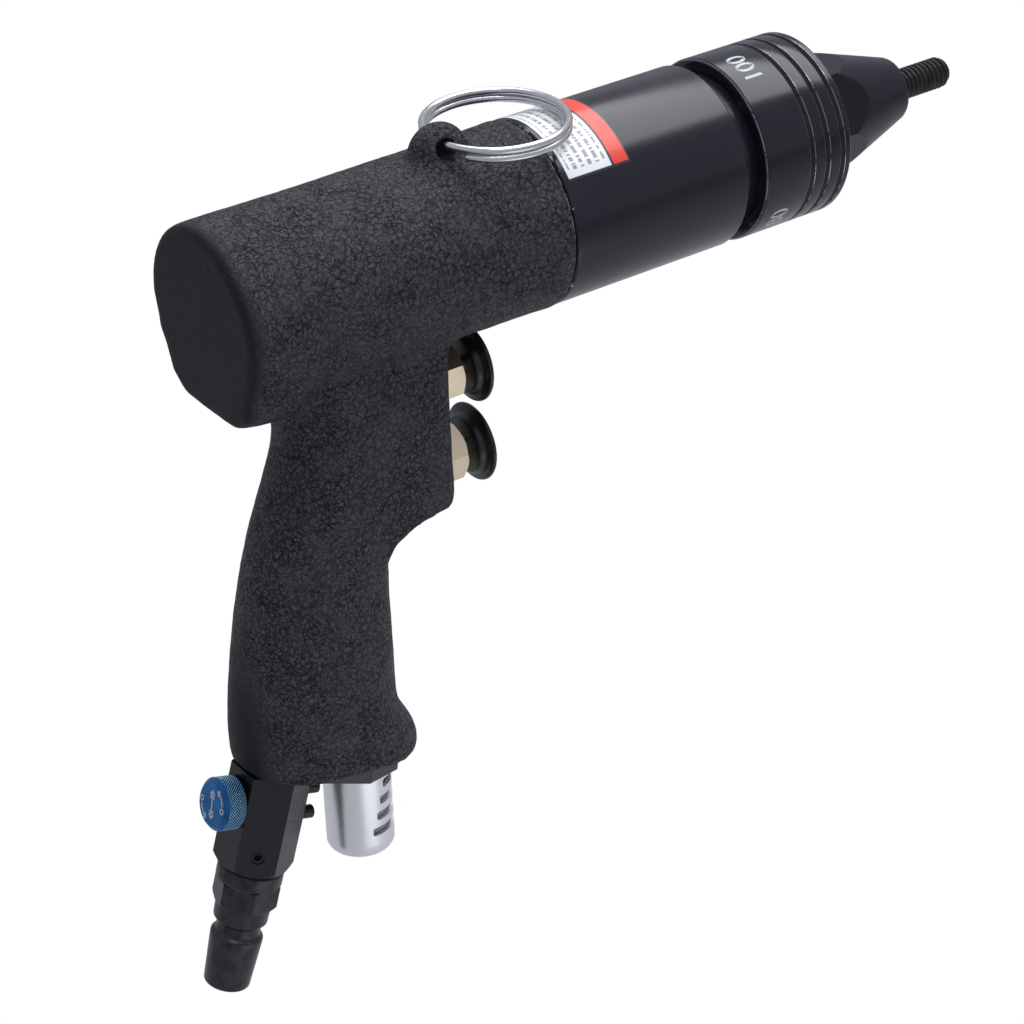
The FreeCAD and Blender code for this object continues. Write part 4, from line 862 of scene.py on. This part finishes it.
def muffler():
    """The exhaust cup. Its wall is a grid whose cells inside each slot are left open."""
    wall, outer, segments, half = 0.9, 8.55, 240, 1.2
    plate_drop, anywhere = 25.8, -20.0
    slots = [(-149.7 + 4.45 * index, reach) for index, reach in enumerate((99, 90, 83, 74))]
    stations = {-155.8, -153.5, -151.9, -135.4}
    for middle, _ in slots:
        stations.update((middle - half, middle - half / 3, middle + half / 3, middle + half))
    stations = sorted(stations)
    rows = len(stations) - 1
    verts, faces, grid = [], [], {}

    def spot(station, radius, angle, gap):
        """A vertex that stays a gap under the plate's slanted underside."""
        x = MUFFLER_X - radius * math.cos(angle)
        fall = plate_drop - math.sin(INLET_TILT) * (x - INLET_X)
        limit = BUTT_Z + fall / math.cos(INLET_TILT) - gap
        return round_x(min(station, limit), radius, angle)

    def shape(station, degrees):
        """A station drawn in towards the middle of a slot near the slot's end."""
        for middle, reach in slots:
            if abs(station - middle) <= half + 1e-6:
                inside = reach - abs(degrees - 180)
                near = max(0.0, 1 - abs(inside) / (4.5 if inside >= 0 else 6.0))
                return middle + (station - middle) * (1 - 0.4 * near ** 3)
        return station

    for layer, radius in enumerate((outer, outer - wall)):
        for row, station in enumerate(stations):
            for column in range(segments):
                degrees = 360 * column / segments
                angle = math.radians(degrees)
                grid[layer, row, column] = len(verts)
                verts.append(spot(shape(station, degrees), radius, angle, 0.2 + 0.2 * layer))

    def open_cell(row, column):
        if not 0 <= row < rows:
            return False
        middle, degrees = (stations[row] + stations[row + 1]) / 2, 360 * (column + 0.5) / segments
        return any(abs(middle - at) < half and abs(degrees - 180) < reach for at, reach in slots)

    def slot_wall(first, last):
        faces.append([grid[0, *first], grid[0, *last], grid[1, *last], grid[1, *first]])

    def join(last, ring):
        faces.extend((last[c], last[(c + 1) % segments], ring[(c + 1) % segments], ring[c])
                     for c in range(segments))

    for row in range(rows):
        for column in range(segments):
            beside = (column + 1) % segments
            if not open_cell(row, column):
                for layer in (0, 1):
                    faces.append([grid[layer, r, c] for r, c in (
                        (row, column), (row, beside), (row + 1, beside), (row + 1, column))])
            if open_cell(row, column) != open_cell(row, (column - 1) % segments):
                slot_wall((row, column), (row + 1, column))
            if open_cell(row, column) != open_cell(row - 1, column):
                slot_wall((row, column), (row, beside))
    # Rings of (station, radius, gap under the plate) that close the wall's lower and upper ends.
    bottom = rounded([(-155.8, outer), (-156.8, outer - 0.45), (-157.3, outer - 1.7),
                      (-157.3, 0.3)], 0.8, 4)[1:]
    bottom = [(*point, anywhere) for point in bottom]
    inside = [(-155.8, 0.3, anywhere)]
    top = [(-129.0, outer, 0.15), (-129.0, outer - 0.3, 0.02), (-129.0, 5.0, 0.02),
           (-122.2, 5.0, anywhere), (-122.2, 3.8, anywhere), (-135.4, 3.8, 0.4)]
    for layer, row, line, far_layer in ((0, 0, bottom, None), (0, rows, top, 1),
                                        (1, 0, inside, None)):
        last = [grid[layer, row, column] for column in range(segments)]
        for station, radius, gap in line:
            ring = list(range(len(verts), len(verts) + segments))
            verts.extend(spot(station, radius, 2 * math.pi * column / segments, gap)
                         for column in range(segments))
            join(last, ring)
            last = ring
        if far_layer is None:
            faces.append(last)
        else:
            join(last, [grid[far_layer, row, column] for column in range(segments)])
    place = Matrix.Translation((MUFFLER_X * MM, 0, 0)) @ UPRIGHT
    piece("muffler_cup", verts, faces, "aluminium", "body", "bright_aluminium", ("muffler",), 35,
          place)


# ---------------------------------------------------------------- CAD nodes that stay

KEPT = {
    "plate": ["butt_plate", "inlet_block"],
    "screw": ["butt_screws", "set_screw", "spool_retaining_screws"],
    "steel": ["nose_holder", "mandrel_chuck", "chuck_cap", "rear_end_plate", "front_end_plate",
              "motor_liner", "rotor", "planet_gear_1", "planet_gear_2", "planet_gear_3",
              "planet_pins", "ring_gear", "spindle", "bearing_holder", "clutch_driver",
              "clutch_disc", "preload_ring", "upper_valve_stem", "lower_valve_stem", "flow_spool",
              "rear_motor_bearing", "front_motor_bearing", "spindle_bearing"],
    "spring": ["clutch_spring"],
    "bronze": ["front_bush"],
    "vane": ["rotor_vanes"],
    "rubber": ["butt_gasket", "inlet_seal"],
    "felt": ["muffler_felt"],
    "screen": ["muffler_screen"],
}
# How wide the edges of these are eased, in millimetres.
EASED = {"butt_plate": 0.35, "inlet_block": 0.3, "butt_screws": 0.12, "set_screw": 0.12,
         "spool_retaining_screws": 0.5}


def kept_nodes():
    """Looks for the CAD nodes that stay, and eased edges for those that are seen."""
    for look, names in KEPT.items():
        for name in names:
            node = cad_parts[name]
            node.data.materials.clear()
            node.data.materials.append(LOOKS[look])
            if name in EASED:
                weld = node.modifiers.new("weld", "WELD")
                weld.merge_threshold = 0.000002
                bevel = node.modifiers.new("eased_edges", "BEVEL")
                bevel.width = EASED[name] * MM
                bevel.segments = 3
                bevel.limit_method = "ANGLE"
                bevel.angle_limit = math.radians(25)
                flat = node.modifiers.new("flat_faces", "WEIGHTED_NORMAL")
                flat.keep_sharp = True
                flat.weight = 100


# ---------------------------------------------------------------- studio


def light_panel(name, spot, aim, width, height, energy):
    """A soft area light that shines from a spot towards an aim; its energy is in watts."""
    light = bpy.data.lights.new(name, "AREA")
    light.shape, light.size, light.size_y, light.energy = "RECTANGLE", width, height, energy
    light.color = (0.95, 0.97, 1.0)
    holder = bpy.data.objects.new(name, light)
    holder.location = spot
    holder.rotation_euler = (Vector(aim) - Vector(spot)).to_track_quat("-Z", "Y").to_euler()
    holder.visible_camera = False
    collection.objects.link(holder)


def studio():
    """A white ground for the camera that throws little light back, and three soft panels."""
    bpy.ops.mesh.primitive_grid_add(x_subdivisions=24, y_subdivisions=24, size=16,
                                    location=(0, 0, -0.42))
    floor = bpy.context.object
    floor.name = "floor"
    paint = Paint("pale_floor", (0.3, 0.3, 0.3), 0.8, Specular_IOR_Level=0.1)
    cloud = paint.noise(3.0, 2, 0.5)
    paint.set("Base Color", paint.mix(cloud, (0.52, 0.52, 0.53), (0.57, 0.57, 0.58)))
    glow = paint.add("Emission", Color=(1, 1, 1, 1), Strength=1.0)
    path = paint.add("LightPath")
    blend = paint.add("MixShader")
    paint.tree.links.new(path.outputs["Is Camera Ray"], blend.inputs[0])
    paint.tree.links.new(paint.shader.outputs[0], blend.inputs[1])
    paint.tree.links.new(glow.outputs[0], blend.inputs[2])
    paint.tree.links.new(blend.outputs[0], paint.tree.nodes["Material Output"].inputs["Surface"])
    floor.data.materials.append(paint.material)
    world = bpy.data.worlds.new("studio")
    scene.world = world
    world.use_nodes = True
    tree = world.node_tree
    background = tree.nodes["Background"]
    background.inputs["Strength"].default_value = 1.0
    path = tree.nodes.new("ShaderNodeLightPath")
    shade = tree.nodes.new("ShaderNodeMix")
    shade.data_type = "RGBA"
    shade.inputs[MIX_FIRST].default_value = (0.42, 0.43, 0.48, 1)
    shade.inputs[MIX_SECOND].default_value = (1, 1, 1, 1)
    tree.links.new(path.outputs["Is Camera Ray"], shade.inputs[0])
    tree.links.new(shade.outputs[MIX_RESULT], background.inputs["Color"])
    light_panel("top_panel", (0.5, 0.2, 1.2), (-0.1, 0, 0), 1.5, 1.1, 19)
    light_panel("low_panel", (-0.10, -0.42, -0.40), (-0.16, 0, -0.13), 0.42, 0.3, 0.42)
    light_panel("edge_panel", (-0.2, -0.5, 1.5), (-0.1, 0, 0), 0.9, 0.12, 3)


def camera():
    """The viewpoint: behind, above and to the right of the tool, with a slight roll."""
    turn, dip, roll = math.radians(55.327), math.radians(31.282), math.radians(-1.91)
    ahead = Vector((math.cos(dip) * math.cos(turn), math.cos(dip) * math.sin(turn), -math.sin(dip)))
    right = Vector((math.sin(turn), -math.cos(turn), 0))
    up = right.cross(ahead)
    tilted_right = right * math.cos(roll) + up * math.sin(roll)
    tilted_up = up * math.cos(roll) - right * math.sin(roll)
    lens = bpy.data.cameras.new("camera")
    lens.sensor_width, lens.lens = 36.0, 108.896484375
    lens.clip_start, lens.clip_end = 0.05, 40
    eye = bpy.data.objects.new("camera", lens)
    eye.matrix_world = Matrix.Translation((-0.4904, -0.5363, 0.3166)) @ Matrix(
        (tilted_right, tilted_up, -ahead)).transposed().to_4x4()
    collection.objects.link(eye)
    scene.camera = eye


camera()
studio()
scene.view_settings.view_transform = "Standard"
housing_skin()
barrel_line()
mandrel()
collar_scale()
sticker_piece()
hanging_ring()
triggers()
inlet_parts()
muffler()
kept_nodes()
